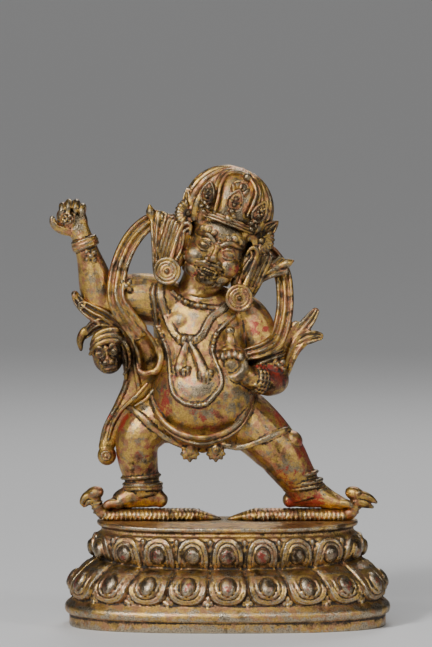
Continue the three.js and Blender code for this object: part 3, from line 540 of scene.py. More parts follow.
def worn_gilding_with_painted_shade(name, gold, rose, bronze):
    """Cast bronze whose gilding has worn off the high places, with dark grime and painted shade in the
    hollows and painted shade on the sides.
    """
    material = bpy.data.materials.new(name)
    material.use_nodes = True
    tree = material.node_tree
    shader = tree.nodes["Principled BSDF"]
    place = tree.nodes.new("ShaderNodeTexCoord").outputs["Object"]

    def link(value, socket):
        if isinstance(value, tuple):
            socket.default_value = (*value, 1)
        elif isinstance(value, (int, float)):
            socket.default_value = value
        else:
            tree.links.new(value, socket)

    def reading(name):
        made = tree.nodes.new("ShaderNodeAttribute")
        made.attribute_name = name
        return made.outputs["Fac"]

    def step(value, low, high):
        made = tree.nodes.new("ShaderNodeMapRange")
        made.interpolation_type = "SMOOTHSTEP"
        link(low, made.inputs["From Min"])
        link(high, made.inputs["From Max"])
        link(value, made.inputs["Value"])
        return made.outputs["Result"]

    def noise(scale, detail, low, high, seed):
        made = tree.nodes.new("ShaderNodeTexNoise")
        made.noise_dimensions = "4D"
        for key, value in (("W", seed), ("Scale", scale), ("Detail", detail), ("Roughness", 0.62),
                           ("Vector", place)):
            link(value, made.inputs[key])
        return step(made.outputs["Fac"], low, high)

    def math(kind, first, second):
        made = tree.nodes.new("ShaderNodeMath")
        made.operation = kind
        link(first, made.inputs[0])
        link(second, made.inputs[1])
        return made.outputs[0]

    def total(start, *pushes):
        for value, amount in pushes:
            start = math("ADD", start, math("MULTIPLY", value, amount))
        return start

    def mix(share, first, second):
        made = tree.nodes.new("ShaderNodeMix")
        made.data_type = "RGBA"
        for key, value in (("Factor", share), ("A", first), ("B", second)):
            link(value, made.inputs[key])
        return made.outputs["Result"]

    relief, lacquer, rubbed, tarnish_and_shade = (reading(name) for name in ("relief", "lacquer", "rubbed", "tarnish_and_shade"))
    broad = noise(50, 3, 0.36, 0.64, 1.0)
    patches = noise(210, 6, 0.4, 0.62, 4.0)
    blotches = noise(150, 6, 0.42, 0.64, 12.0)
    specks = noise(950, 4, 0.35, 0.65, 7.0)
    grain = noise(2600, 3, 0.3, 0.7, 9.0)
    gilt = mix(specks, tuple(0.72 * c for c in gold), tuple(1.2 * c for c in gold))
    thin_gilt = mix(specks, tuple(0.8 * c for c in rose), tuple(1.3 * c for c in rose))
    colour = mix(step(total(patches, (broad, 0.4), (specks, 0.3)), 0.62, 1.1), gilt, thin_gilt)
    worn = total(relief, (rubbed, 0.4), (blotches, 0.4), (specks, 0.2), (broad, 0.06))
    bare = step(worn, 0.92, 1.16)
    colour = mix(bare, colour, mix(specks, tuple(0.8 * c for c in bronze), tuple(1.5 * c for c in bronze)))
    red = step(total(lacquer, (patches, 0.4), (specks, 0.4)), 0.7, 1.0)
    colour = mix(red, colour, (0.3, 0.03, 0.015))
    stains = math("MULTIPLY", noise(170, 7, 0.46, 0.62, 21.0), noise(38, 2, 0.38, 0.6, 31.0))
    # Dark patina and stains, together with the painted shade that the tarnish mark carries.
    dark = total(0.0, (tarnish_and_shade, 0.45), (math("MULTIPLY", tarnish_and_shade, patches), 0.25), (stains, 0.75))
    colour = mix(dark, colour, (0.03, 0.018, 0.009))
    # Painted shade with grime: hollows and creases go nearly black and lose their metal sheen.
    grime_and_shade = step(total(relief, (specks, 0.16), (patches, 0.1), (tarnish_and_shade, -0.15)), 0.52, 0.14)
    colour = mix(grime_and_shade, colour, (0.016, 0.009, 0.004))
    link(colour, shader.inputs["Base Color"])
    link(total(0.95, (grime_and_shade, -0.75), (red, -0.6)), shader.inputs["Metallic"])
    link(total(0.31, (bare, -0.07), (specks, 0.1), (grime_and_shade, 0.25), (stains, 0.1)), shader.inputs["Roughness"])
    bump = tree.nodes.new("ShaderNodeBump")
    link(0.4, bump.inputs["Strength"])
    link(0.25 * MM, bump.inputs["Distance"])
    link(total(0.0, (specks, 0.7), (grain, 0.35)), bump.inputs["Height"])
    link(bump.outputs["Normal"], shader.inputs["Normal"])
    return material


figure_bronze = worn_gilding_with_painted_shade("figure_bronze", (0.62, 0.385, 0.095), (0.44, 0.205, 0.1), (0.235, 0.185, 0.115))
cast("cast_body", body, 0.6, 190000, "vajrapani_figure", figure_bronze, {
    "lacquer": [(21, -22, 168.5, 3.6, 0.9), (27, -20, 165, 5.5, 1.1), (33, -16, 161, 6, 1),
                (21, -16, 194, 8, 0.5), (34, -12, 136, 9, 0.7), (47, -12, 117, 8, 0.85),
                (52, -8, 104, 7, 0.6), (42, -10, 78, 7, 0.9), (56, -12, 77, 9, 0.85), (-44, -10, 78, 6, 0.5),
                (-68, -12, 134, 8, 0.8), (-71, -8, 111, 8, 0.55), (-40, -28, 146, 9, 0.42),
                (-14, -38, 136, 14, 0.36), (-30, -30, 166, 20, 0.25), (-50, -14, 110, 14, 0.36),
                (40, -14, 100, 14, 0.4)],
    "rubbed": [(-14, -38, 150, 16, 0.4), (4, -30, 164, 9, 0.5), (-82, -14, 226, 14, 0.15),
               (-55, -16, 108, 9, 0.4), (42, -16, 102, 9, 0.4), (26, -22, 122, 8, 0.3),
               (-100, -10, 262, 12, 0.4), (-30, -32, 168, 6, 0.6), (-16, -34, 163, 6, 0.6),
               (-26, -28, 185, 6, 0.6)] + [(*seen(x, z), 3.4, 0.4) for strap in STRAPS for x, z in strap],
    # Tarnish spots: dark patina on the limbs, and painted shade under the chin, under the raised arm and
    # under the bent forearm.
    "tarnish_and_shade": [(36, -12, 155, 12, 0.5), (-50, -12, 106, 9, 0.3), (38, -14, 108, 9, 0.35),
                (-62, -16, 118, 8, 0.3), (-58, -20, 106, 6, 0.55), (-52, -16, 98, 5, 0.5),
                (46, -14, 96, 6, 0.5), (34, -22, 112, 6, 0.5), (-28, -28, 198, 14, 0.4),
                (-82, -14, 226, 16, -0.4), (-6, -36, 148, 6, 0.4), (-24, -38, 140, 7, 0.4),
                (24, -20, 158, 9, 0.8), (48, -6, 88, 12, 0.4), (-52, -12, 88, 12, 0.4),
                (-46, -14, 172, 12, 0.8), (-14, -16, 222, 8, 0.5), (-58, -10, 200, 9, 0.6),
                (12, -18, 186, 7, 0.7), (-16, -10, 116, 10, 0.6), (-62, 2, 118, 9, 0.5)]})

# Head
# The head leans towards the bent arm. It has the broad, round-cheeked face of a wrathful guardian, set out on
# the usual thirds of brow, nose and chin, long ears with coiled rings, and a crown before the combed-up hair.
HEAD_TILT = radians(20.5)
HEAD_AT = (-8, -8, 243.4)
head = bmesh.new()
lumps(head, (0, -3, 1.5, 19, 18, 23.5, 5), (0, -7.8, 12, 17.8, 12.8, 10.4, 4), (0, 9, 4, 23, 14, 24, 4),
      (0, -23.2, -4.6, 3.2, 2.8, 2.5, 3), (0, -19.4, 12.5, 1.15, 1.3, 2, 3),
      (0, -14.8, -18.4, 6.8, 5.6, 4.5, 4), (0, -11, -14, 11, 7, 7.4, 4))
# Cheeks, jowls, eyeballs, nostrils, fangs, ears and the hair behind them.
lumps(head, (10.4, -13.4, -6.2, 8, 6.8, 7.2, 4), (8.4, -10, -13.4, 7.2, 6.6, 7, 4),
      (7.8, -17.2, 2.2, 4.4, 3.9, 3.2, 4), (3.5, -21.2, -5.4, 2.3, 2.5, 1.9, 3),
      (4.9, -18.9, -12.8, 0.85, 0.9, 2.1, 2), (20.6, -1, -5, 6, 7, 15, 4), (22.6, -6.6, -0.6, 4.8, 3, 12, 4),
      (27, 4.6, -0.6, 6.4, 7, 18, 3), sides=LEFT_AND_RIGHT)
# Eyelids, brows, lids of the third eye, moustache and the rolled edges of the ears.
rods(head,
     [[3, -19.2, 0.8, 0.5], [5, -20.8, 3.6, 0.8], [8.2, -20.9, 5.2, 0.95], [11.4, -18.6, 3.8, 0.85],
      [13.2, -16, 1, 0.5]],
     [[3.2, -19.2, 0.4, 0.4], [5.6, -20.1, -0.8, 0.6], [8.8, -19.8, -1.2, 0.65], [11.8, -17.6, -0.2, 0.5],
      [13.2, -16, 0.8, 0.4]],
     [[1, -21.2, 4.6, 1], [3.6, -21.8, 7, 1.6], [7.6, -20.8, 9.2, 1.9], [12, -17.6, 8.6, 1.7],
      [15, -13.6, 8.4, 1.3], [16.6, -10.6, 10, 0.8]],
     [[0.7, -19.8, 10, 0.4], [1.9, -20.1, 12.4, 0.55], [0.5, -19, 15.4, 0.35]],
     [[0.8, -22, -8.2, 0.9], [4.6, -21.4, -7.9, 1.3], [8.6, -19.2, -9.4, 1.15], [12.2, -16, -8.9, 0.85],
      [13.6, -14.4, -6.6, 0.6], [12.4, -15.8, -5.4, 0.45]],
     [[1.2, -21.4, -9.3, 0.6], [4.8, -20.6, -9.5, 0.9], [8.8, -18, -11.5, 0.8], [12.2, -14.6, -12.2, 0.6],
      [14, -12.6, -10.8, 0.4]],
     [[19.4, -9.8, 5, 0.9], [20.2, -10, 9, 1.2], [22.8, -9.8, 11.4, 1.5], [25.6, -9, 9, 1.6],
      [26.4, -8.8, 2, 1.6], [25.8, -9.4, -6, 1.6], [25.4, -10, -13, 1.8], [25, -10.4, -18, 1.7]],
     [[21.8, -9.8, 8, 0.8], [23.4, -9.8, 5, 1], [22, -10, 0, 1], [21, -10, -7, 1.1], [21.6, -10.4, -13, 1.4],
      [22.8, -10.6, -18, 1.5]],
     sides=LEFT_AND_RIGHT)
for side in LEFT_AND_RIGHT:
    for x, z, y in ((5, 11.8, -21), (9, 12.8, -19.4), (12.8, 12, -17)):
        hoop(head, (side * x, y, z), 1.4, 0.6, along=FRONT)
        lump(head, (side * x, y - 0.2, z), 0.7, fine=2)
    for number in range(7):
        turn = radians(18 + 11 * number)
        place = (side * 18.4 * sin(turn), -15.6 + 1.6 * number, 0.5 - 21.6 * cos(turn))
        hoop(head, place, 1.5, 0.6, along=FRONT)
        lump(head, place, 0.8, fine=2)
# Nose with two wrinkles, and the lips round a row of teeth.
rods(head, [[0, -20, 7.4, 1.7], [0, -21.4, 3.4, 1.7], [0, -22.8, -0.6, 2.2], [0, -23.8, -3.8, 2.8]],
     *([[-2.8, -20.4, z + 0.8, 0.35], [0, -22.7, z, 0.55], [2.8, -20.4, z + 0.8, 0.35]] for z in (3.6, 5.8)),
     [[-8.4, -16.6, -12.8, 0.6], [-4.4, -19.6, -10.8, 0.9], [0, -20.6, -10.4, 1], [4.4, -19.6, -10.8, 0.9],
      [8.4, -16.6, -12.8, 0.6]],
     [[-8, -16, -13.6, 0.6], [-4.4, -18.5, -15.6, 1.05], [0, -19.2, -16.2, 1.15], [4.4, -18.5, -15.6, 1.05],
      [8, -16, -13.6, 0.6]])
lumps(head, *((x, -19 + 0.04 * x * x, -12.4, 0.66, 0.7, 1.15, 2) for x in (-3.5 + 1.4 * k for k in range(6))))


def leaf(wax, place, wide, high, lean=0.0, yaw=0.0, plain=False):
    """A leaf of the crown: a plate with a raised edge, and on it a midrib, or a gem over a few beads."""
    piece = bmesh.new()
    low = 0 if plain else 0.32 * high
    tall = high - low
    lump(piece, (0, 0.2, low + tall * 0.5), (wide * 0.46, 1.8, tall * 0.5), fine=4)
    edge = ((0.1, 0), (0.36, 0.1), (0.49, 0.34), (0.42, 0.62), (0.22, 0.86), (0, 1.03))
    rods(piece, [[wide * a, -0.9 - 0.6 * sin(pi * b), low + tall * b, 0.75] for a, b in edge],
         sides=LEFT_AND_RIGHT)
    if plain:
        rod(piece, [[0, -1.4, tall * 0.06, 0.5], [0, -2, tall * 0.5, 0.6], [0, -1.2, tall * 0.96, 0.4]])
    else:
        for x, z, size in ((0, 0.3, 1.5), (-0.2, 0.44, 0.9), (0.2, 0.44, 0.9), (0, 0.58, 1.2),
                           (-0.14, 0.7, 0.7), (0.14, 0.7, 0.7)):
            lump(piece, (wide * x, -2.2, low + tall * z), size, fine=2)
        for x, z in ((-0.24, 0.2), (0.24, 0.2), (0, 0.32), (0, 0.05)):
            lump(piece, (x * wide, -1.9, high * z), (wide * 0.18, 1.9, wide * 0.17))
            hoop(piece, (x * wide, -3.4, high * z), wide * 0.09, 0.35, along=FRONT)
    pour(wax, piece, stood(place, lean, yaw))


def fan(wax, place, radius, middle, yaw):
    """Eight pleats spread to one side of a bead."""
    piece = bmesh.new()
    for turn in (radians(middle - 63 + 18 * k) for k in range(8)):
        way = Vector((cos(turn), 0, sin(turn)))
        rod(piece,
            [[*(way * radius * share), wide, 1.3 * wide]
             for share, wide in ((0.15, 0.8), (0.5, 1.2), (0.84, 1.7), (0.98, 1.4))])
    lump(piece, (0, 0.6, 0), (radius * 0.72, 1.2, radius * 0.72))
    lump(piece, (0, -1.6, 0), 2.2)
    pour(wax, piece, stood(place, yaw=yaw))


# Dome of hair: combed up from the brow and the nape in thick strands that meet at the top.
DOME = Vector((-1.6, 3, 28.6))
DOME_SIZE = Vector((26.6, 20.8, 27.2))


def on_dome(around, rise, proud=0.0):
    """A place on the dome, turned from its right side to its back and raised from its middle."""
    out = Vector((cos(rise) * cos(around), cos(rise) * sin(around), sin(rise)))
    return DOME + Vector(a * (b + proud) for a, b in zip(out, DOME_SIZE))


lump(head, DOME, DOME_SIZE, fine=5)
STRANDS = 24
for number in range(STRANDS):
    around = tau * (number + 0.5) / STRANDS
    before_arch = abs(around - 1.5 * pi) < 0.55
    start = 1.2 if before_arch else -0.42 + 0.1 * sin(around)
    rises = [start + (1.5 - start) * k / 6 for k in range(7)]
    rod(head,
        [[*on_dome(around + 0.16 * (rise - start), rise, 0.2), 0.4 + 2.5 * cos(rise), 2.3 - 0.9 * sin(rise)]
         for rise in rises])
for x, y, top in ((27 + 2.4 * k, -4.4 + 1.2 * k, 13 - k) for k in range(4)):
    rods(head,
         [[x, y + 2, top, 1.3, 2], [x + 1, y, 8, 1.6, 2.4], [x + 0.6, y - 0.4, 0, 1.5, 2.2],
          [x + 0.2, y, -9, 1.5, 2.2], [x - 1, y + 1, -18, 1.2, 1.6]],
         sides=LEFT_AND_RIGHT)
for x in range(-18, 19, 6):
    rod(head,
        [[x, 21, 14, 3, 2.4], [x * 0.95, 22.6, 4, 3, 2.4], [x * 0.9, 20.4, -8, 2.8, 2.2],
         [x * 0.8, 15, -18, 2, 1.8]])

# Crown: three thin bands round the brow, a plain arch, five leaves and a pleated fan at each temple.
for rise, out in ((19.2, 0.2), (21.2, 0.6), (23, 0.2)):
    rod(head,
        [[(21.4 + out) * cos(turn), -1.6 + (18.2 + out) * sin(turn), rise + 0.9 * sin(turn) ** 2, 0.8, 1]
         for turn in (pi - 0.25 + (pi + 0.5) * k / 14 for k in range(15))],
        steps=3)
arch_at = [(-9.6, 25), (-10.6, 34), (-12, 42), (-10.4, 49.6), (-4.4, 53.2), (2.6, 52.8), (8.2, 49.6),
           (11.4, 45), (12, 38), (11.4, 30)]


def before_dome(x, z, proud):
    share = 1 - ((x - DOME.x) / DOME_SIZE.x) ** 2 - ((z - DOME.z) / DOME_SIZE.z) ** 2
    return [x, DOME.y - DOME_SIZE.y * max(share, 0) ** 0.5 - proud, z]


rod(head, [[*before_dome(x, z, 1.9), 1.6, 2.4] for x, z in arch_at], steps=6)
rod(head, [[*before_dome(x * 1.24, 27 + (z - 27) * 1.03, 1.2), 1.1, 1.8] for x, z in arch_at[1:-1]], steps=6)
lump(head, before_dome(2.6, 52.4, 2.4), 3)
leaf(head, (0.6, -21.6, 22.2), 11, 21)
for x, z, lean in ((-3.4, 43, -0.5), (0.6, 44.4, 0), (4.6, 43, 0.5)):
    lump(head, (x, -19.8, z), (1.7, 2.4, 3.8), lean=lean)
hoop(head, (0.6, -19.6, 43.4), 5.6, 0.8, along=FRONT)
lump(head, (0.2, -23.6, 23.6), (2.6, 2.2, 2.4))
for side in LEFT_AND_RIGHT:
    leaf(head, (side * 15, -18.4, 21.4), 9.6, 20.6, lean=side * 0.2, yaw=side * 0.5)
    leaf(head, (side * 24.4, -6.6, 21.4), 8, 12.6, lean=side * 0.56, yaw=side * 0.4, plain=True)
    fan(head, (side * 24.6, -8.4, 17.4), 8.4, 90 - side * 98, side * 0.3)
    # Earring: a dished disc of coiled wire with a bead in its middle.
    disc = bmesh.new()
    lump(disc, (0, 0.4, 0), (8.4, 1.9, 8.4), fine=4)
    for radius, wire in ((8, 1.25), (5.7, 0.75), (3.7, 0.7)):
        hoop(disc, (0, -0.9, 0), radius, wire, along=FRONT)
    lump(disc, (0, -1.8, 0), (1.6, 1.7, 1.6))
    pour(head, disc, stood((side * 24.8, -10.4, -22.4), yaw=side * 0.12))
bmesh.ops.transform(head, matrix=stood(HEAD_AT, HEAD_TILT), verts=head.verts)

# Crown ribbons
# Behind each ear a fluted ribbon falls from the crown. It flares into a bud where a ridged bar ties it.
RIDGES = [(-1, 0), (-0.96, 0.45), (-0.82, 0.8), (-0.66, 0.82), (-0.5, 0.5), (-0.38, 0.36), (-0.24, 0.6),
          (-0.1, 0.92), (0.1, 0.92), (0.24, 0.6), (0.38, 0.36), (0.5, 0.5), (0.66, 0.82), (0.82, 0.8),
          (0.96, 0.45), (1, 0), (0.85, -0.6), (0.4, -0.9), (-0.4, -0.9), (-0.85, -0.6)]
rods(head,
     [[-45.4, -9, 231, 3.2, 2.2], [-46, -8.4, 240, 3.1, 2.4], [-46.2, -7.4, 249, 3.3, 2.4],
      [-45.8, -6, 257, 4.4, 2.4], [-45, -4.6, 263, 6, 2.4], [-44.4, -4, 267, 7.2, 2]],
     [[10, -11, 217.6, 3.2, 2.2], [15, -10, 221.6, 3.2, 2.4], [21, -8.4, 226.4, 3.8, 2.4],
      [27.4, -7, 230.4, 4.9, 2.4], [32.6, -5.6, 233, 6.2, 2.4], [36, -5, 234.4, 7, 2]],
     section=RIDGES, steps=7, ends=(1, 0.6))
for place, lean in (((-50, -4.4, 269), -0.15), ((38.8, -5.4, 235.6), 1.2)):
    rod(head,
        [[place[0] - 4.4 * sin(lean), place[1], place[2] - 4.4 * cos(lean), 2.2], [*place, 3.1],
         [place[0] + 4 * sin(lean), place[1], place[2] + 4 * cos(lean), 0.9]])
for start, end in (((-46, -3.6, 265.4), (-31, -3.6, 265)), ((33, -4, 234.6), (22, -3, 242.6))):
    way = Vector(end) - Vector(start)
    rod(head, [[*(Vector(start) + way * k / 24), 1.9 + 0.8 * abs(sin(pi * k / 4))] for k in range(25)],
        steps=1)
cast("cast_head", head, 0.35, 190000, "vajrapani_figure", figure_bronze, {
    "lacquer": [(5, -24, 233, 5, 0.75), (-25, -20, 245, 5, 0.6), (-22, -22, 228, 4, 0.5),
                (-2, -28, 246, 4, 0.4)],
    "rubbed": [(-3.4, -28, 255.6, 9, 0.8), (-20, -28, 241, 5, 0.3), (-1, -28, 235, 5, 0.3),
               (-10, -24, 221, 7, 0.5), (-12, -32, 239, 5, 0.3), (-46, -9, 245, 26, 0.4),
               (27, -8, 230, 12, 0.4), (2, -26, 287, 7, -0.7), (-5, -28, 277, 5, -0.6),
               (12, -27, 272, 5, -0.6), (-30, -12, 240, 9, -0.3)],
    "tarnish_and_shade": [(-11, -30, 229, 9, 0.7), (26, -8, 256, 16, 0.8), (16, -14, 236, 9, 0.7),
                (-8, -22, 219, 6, 0.5), (3.6, -32, 273, 5, 0.7), (-12, -28, 276, 5, 0.6),
                (17, -24, 265, 6, 0.7), (-30, -12, 268, 8, 0.5), (-22, -16, 246, 7, 0.6),
                (8, -18, 246, 7, 0.6), (4, -16, 286, 16, -0.45)]})

# Scarf
# A long scarf, cast as a flat band with three ridges, stands clear of the shoulders in a loop on each side.
# On the left it ends in an open fold below the arm, and on the right in a fishtail that flies up.
scarf = bmesh.new()
rods(scarf,
     [[-36, 2, 263.6, 3.6, 2.4], [-48, -1, 263.2, 5.2, 2.6], [-58, -5, 256, 5.9, 2.8],
      [-65.8, -10, 244.4, 6.1, 3], [-70.8, -15, 229.6, 6.1, 3], [-72, -19, 214, 6.2, 3],
      [-66.6, -20, 203, 6.8, 3], [-58.4, -19.4, 192, 7.2, 3]],
     [[17.9, 8, 248, 5, 2.4], [28.4, 5, 240, 5.7, 2.6], [35.6, 1.6, 228, 5.7, 2.8],
      [37.4, -2.4, 212, 5.7, 2.8], [36, -6, 198.4, 5.8, 3], [31.6, -13, 186, 5.8, 3],
      [23.6, -18.6, 180.4, 5.4, 3], [12.6, -17.4, 177, 4.6, 2.6]],
     section=RIDGES, steps=9)
CHANNEL = [(-1, 0), (-0.98, 0.5), (-0.86, 0.95), (-0.7, 1), (-0.56, 0.6), (-0.4, 0), (-0.2, -0.35),
           (0.2, -0.35), (0.4, 0), (0.56, 0.6), (0.7, 1), (0.86, 0.95), (0.98, 0.5), (1, 0), (0.8, -0.7),
           (0.4, -1), (-0.4, -1), (-0.8, -0.7)]
rod(scarf,
    [[-62.4, -18.6, 197, 5, 2.6], [-56.4, -18.6, 188, 7, 3.6], [-52.2, -18, 180, 8, 4.2],
     [-50.4, -17, 172, 8.2, 4.2], [-51, -16, 166.6, 7.6, 4]],
    section=CHANNEL, steps=8, ends=(1, 0.4))
rod(scarf,
    [[-58.6, -19, 171, 1.4], [-57, -20, 166.6, 1.9], [-53.6, -20.8, 164.6, 2.3], [-50, -20.8, 165.6, 2],
     [-46.6, -20.6, 166.4, 2.6], [-43.6, -20.4, 171, 2.8], [-43.4, -19.6, 178, 2.4], [-46.4, -19, 186, 1.8]],
    steps=6)
rod(scarf,
    [[32.4, -6.4, 157.2, 3.6, 2.6], [36, -5.4, 165, 4.8, 3], [38.4, -5, 173, 5.8, 3],
     [41.6, -5, 181.6, 7.2, 2.8], [46.6, -5, 189, 8.6, 2.4], [49.4, -5, 192, 8.8, 2]],
    section=RIDGES, steps=7, ends=(1, 0.5))
rods(scarf,
     [[43.6, -4.6, 186, 3.8, 2], [49.4, -4.8, 193.6, 4.4, 2.2], [54, -5, 199.6, 3.8, 2.1],
      [57.2, -5, 204.4, 2.6, 1.8]],
     [[45, -5.4, 184, 3.6, 1.8], [51.4, -5.4, 186.8, 4.4, 2.2], [56.4, -5.2, 188, 4, 2.1],
      [60, -5, 188, 2.8, 1.8]],
     section=RIDGES)

# Flayed hide
# A tiger's hide hangs from the raised arm behind the scarf. A paw sticks out at the elbow, the animal's face
# looks out beside the hip, and the hide narrows down the thigh to a tail with a round tuft at the knee.
rod(scarf,
    [[-99, -9, 215.6, 2.4, 2.2], [-97.4, -9.8, 212.6, 3.3, 2.8], [-94.4, -11.4, 208.8, 4, 3.4],
     [-88, -13.6, 204.6, 5.4, 4.2], [-79, -15, 199.6, 6.2, 4.4], [-70.6, -13.6, 191, 6.8, 4.4],
     [-65.6, -11, 181, 6.8, 4.4]],
    section=RIDGES, steps=8)
lump(scarf, (-99, -10.6, 214.6), (2, 2.2, 2.8), lean=-0.5)
hoop(scarf, (-94.4, -14.4, 208.8), 2, 0.6, along=FRONT)
rod(scarf,
    [[-66.6, -11, 188, 7, 5], [-60.6, -9, 172, 8, 6], [-58.4, -6.6, 157, 9.4, 6.4], [-65.2, -5, 141, 9, 6],
     [-74.4, -4, 127, 7, 4.6], [-78.8, -5, 116, 5.2, 4]],
    steps=7)
lump(scarf, (-55, -4, 156), (13, 9, 16), lean=0.4, fine=4)
lump(scarf, (-78.4, -6, 110.6), (6.2, 5, 6.6), fine=4)
hoop(scarf, (-79, -10.4, 110.6), 2.7, 0.8, along=FRONT)
lump(scarf, (-79, -10.6, 110.6), 1.2, fine=2)
rods(scarf,
     [[-66, -15.6, 191.6, 1.6], [-62, -15.4, 183, 1.8], [-60.6, -14.4, 173, 1.8], [-58.8, -13.4, 163, 1.8],
      [-57, -13, 153, 1.4]],
     [[-70, -14.4, 187, 1.3], [-67, -14.6, 179, 1.6], [-65.4, -14.6, 170, 1.6], [-66, -13.6, 161, 1.3]],
     [[-52, -16, 158, 1.2], [-60, -15.4, 149, 1.5], [-68.6, -12.4, 141, 1.5], [-74.6, -9.6, 131, 1.2],
      [-77.4, -9, 121, 0.8]],
     [[-63.6, -12, 163, 1.2], [-67.6, -11, 152, 1.3], [-72.6, -9, 141.6, 1.3], [-79, -7.6, 131, 1.2],
      [-81.6, -7.2, 121, 1]],
     [[-48, -16, 154, 1.2], [-53, -15.6, 147.6, 1.4], [-60, -14, 143, 1.2]], steps=6)

# The animal's face: skull, muzzle, nose, brows, whisker spots, teeth, a lock of the mane and three bands.
beast = bmesh.new()
lumps(beast, (0, 0, 0, 10, 9, 12, 4), (0, -7.4, -4.6, 6.6, 5, 5.4, 4), (0, -12, -1.2, 2.6, 1.5, 1.6, 3))
whisker_spots = [(2.4 + 1.5 * step, -12 + 0.9 * step + 0.3 * row, -2.6 - 1.7 * row) for row in range(3)
                 for step in range(3)]
lumps(beast, (4.6, -7.8, 2.8, 2.7, 2.5, 2.4, 3), (2, -12, -3.6, 2.3, 1.6, 1.9, 3),
      *((*place, 0.65, 0.65, 0.65, 2) for place in whisker_spots),
      *((1 + 1.6 * k, -11.4 + 0.6 * k, -9.2, 0.6, 0.6, 1.2, 2) for k in range(3)), sides=LEFT_AND_RIGHT)
rods(beast, [[1.4, -9.4, 4.8, 1], [4.6, -9.4, 7, 1.4], [8, -6, 5.4, 1.1], [9.2, -3.4, 2, 0.7]],
     sides=LEFT_AND_RIGHT)
for side in LEFT_AND_RIGHT:
    hoop(beast, (side * 4.6, -9.4, 2.8), 2.7, 0.55, along=(side * 0.2, -1, 0))
rods(beast, [[0, -8.6, 6, 1.6], [0, -9.6, 2.6, 1.5], [0, -11.4, -0.6, 1.8]],
     [[-6.2, -7.6, -7, 0.5], [-3.4, -11, -7.6, 0.8], [0, -12, -8, 0.9], [3.4, -11, -7.6, 0.8],
      [6.2, -7.6, -7, 0.5]],
     [[8, -8, 13, 1.4], [12.4, -7, 7, 1.4], [14, -6, -1, 1.4], [12.6, -5, -9, 1.3], [8, -4, -13.6, 1]],
     *([[-10 + 0.9 * k, -2, 4.6 + 1.9 * k, 0.7], [-6, -6.2 + 0.8 * k, 7.6 + 1.9 * k, 1.05],
        [0, -7.6 + 0.9 * k, 8.6 + 1.9 * k, 1.15], [6, -6.2 + 0.8 * k, 7.6 + 1.9 * k, 1.05],
        [10 - 0.9 * k, -2, 4.6 + 1.9 * k, 0.7]] for k in range(4)),
     *([[x - 11, -3, z - 5.6 - tall, 1.1], [x - 6.6, -8, z - 1.6, 1.8], [x, -9.4 + tall, z + 0.4, 2],
        [x + 6.6, -8, z - 0.2, 2], [x + 9.6 - tall, -6, z - 1.6, 1.4]]
       for x, z, tall in ((0, 9.4, 0.4), (1, 13, 0.9), (2, 16.4, 1.4))))
pour(scarf, beast, stood((-77.6, -13, 175.8), lean=-0.2))
rod(scarf,
    [[-91.6, -11, 189, 2, 3], [-87, -13.6, 194, 4.6, 4], [-80.6, -14.6, 196, 5.2, 4.4],
     [-73, -14, 192.6, 5.2, 4.4], [-67.6, -12, 184, 4, 4]],
    section=RIDGES, steps=6)
rod(scarf,
    [[-89, -12.6, 193.6, 2.4, 2.4], [-93, -12.6, 191, 3, 2.4], [-95.4, -12, 185.6, 2.6, 2.2],
     [-95, -12, 180, 1.3, 1.4]])
lump(scarf, (-70.4, -17, 188), (2.6, 2.4, 3), lean=0.3)
cast("cast_scarf_and_hide", scarf, 0.45, 180000, "vajrapani_figure", figure_bronze, {
    "tarnish_and_shade": [(-78, -20, 172, 18, 1), (-62, -14, 172, 14, 0.35), (-95, -12, 186, 8, 1),
                (-53, -18, 172, 8, 0.5), (-70, -15, 235, 40, 0.25), (36, -4, 210, 50, 0.25),
                (-90, -14, 205, 12, 0.5), (-74, -14, 196, 10, 0.6)],
    "lacquer": [(-78, -12, 138, 6, 0.4)]})

# Snakes
# Two ribbed snakes lie tail to tail along the top of the base, one under each foot, and lift their heads
# beyond the toes. They are flat below, where the casting is pinned down on the base.
TOP = 68.1  # height of the base's top
SNAKE_LENGTH = 76
snakes = bmesh.new()


def snake(way, tail, slant):
    """Ribs every 3 mm down a body that is round above and flat below."""
    stations = []
    for k in range(57):
        run = SNAKE_LENGTH * k / 56
        grown = min(1, 0.16 + (run / 22) ** 0.8)
        rib = 0.94 + 0.1 * (k % 2)
        stations.append([tail + way * run, -2, TOP + 3.2 * grown, 4.6 * grown * rib, 7.4 * grown * rib])
    rod(snakes, stations, steps=1, ends=(1, 0))
    for x in (tail + way * SNAKE_LENGTH * (k - 0.5) / 25 for k in range(6, 26)):
        rod(snakes,
            [[x - slant, -9.4, TOP + 0.6, 0.5], [x - 0.6 * slant, -8.6, TOP + 2.8, 0.7],
             [x, -6.2, TOP + 5.4, 0.75], [x + slant, -1, TOP + 6.8, 0.75], [x + slant, 4, TOP + 5.4, 0.7],
             [x + slant, 5.4, TOP + 2.6, 0.5]])


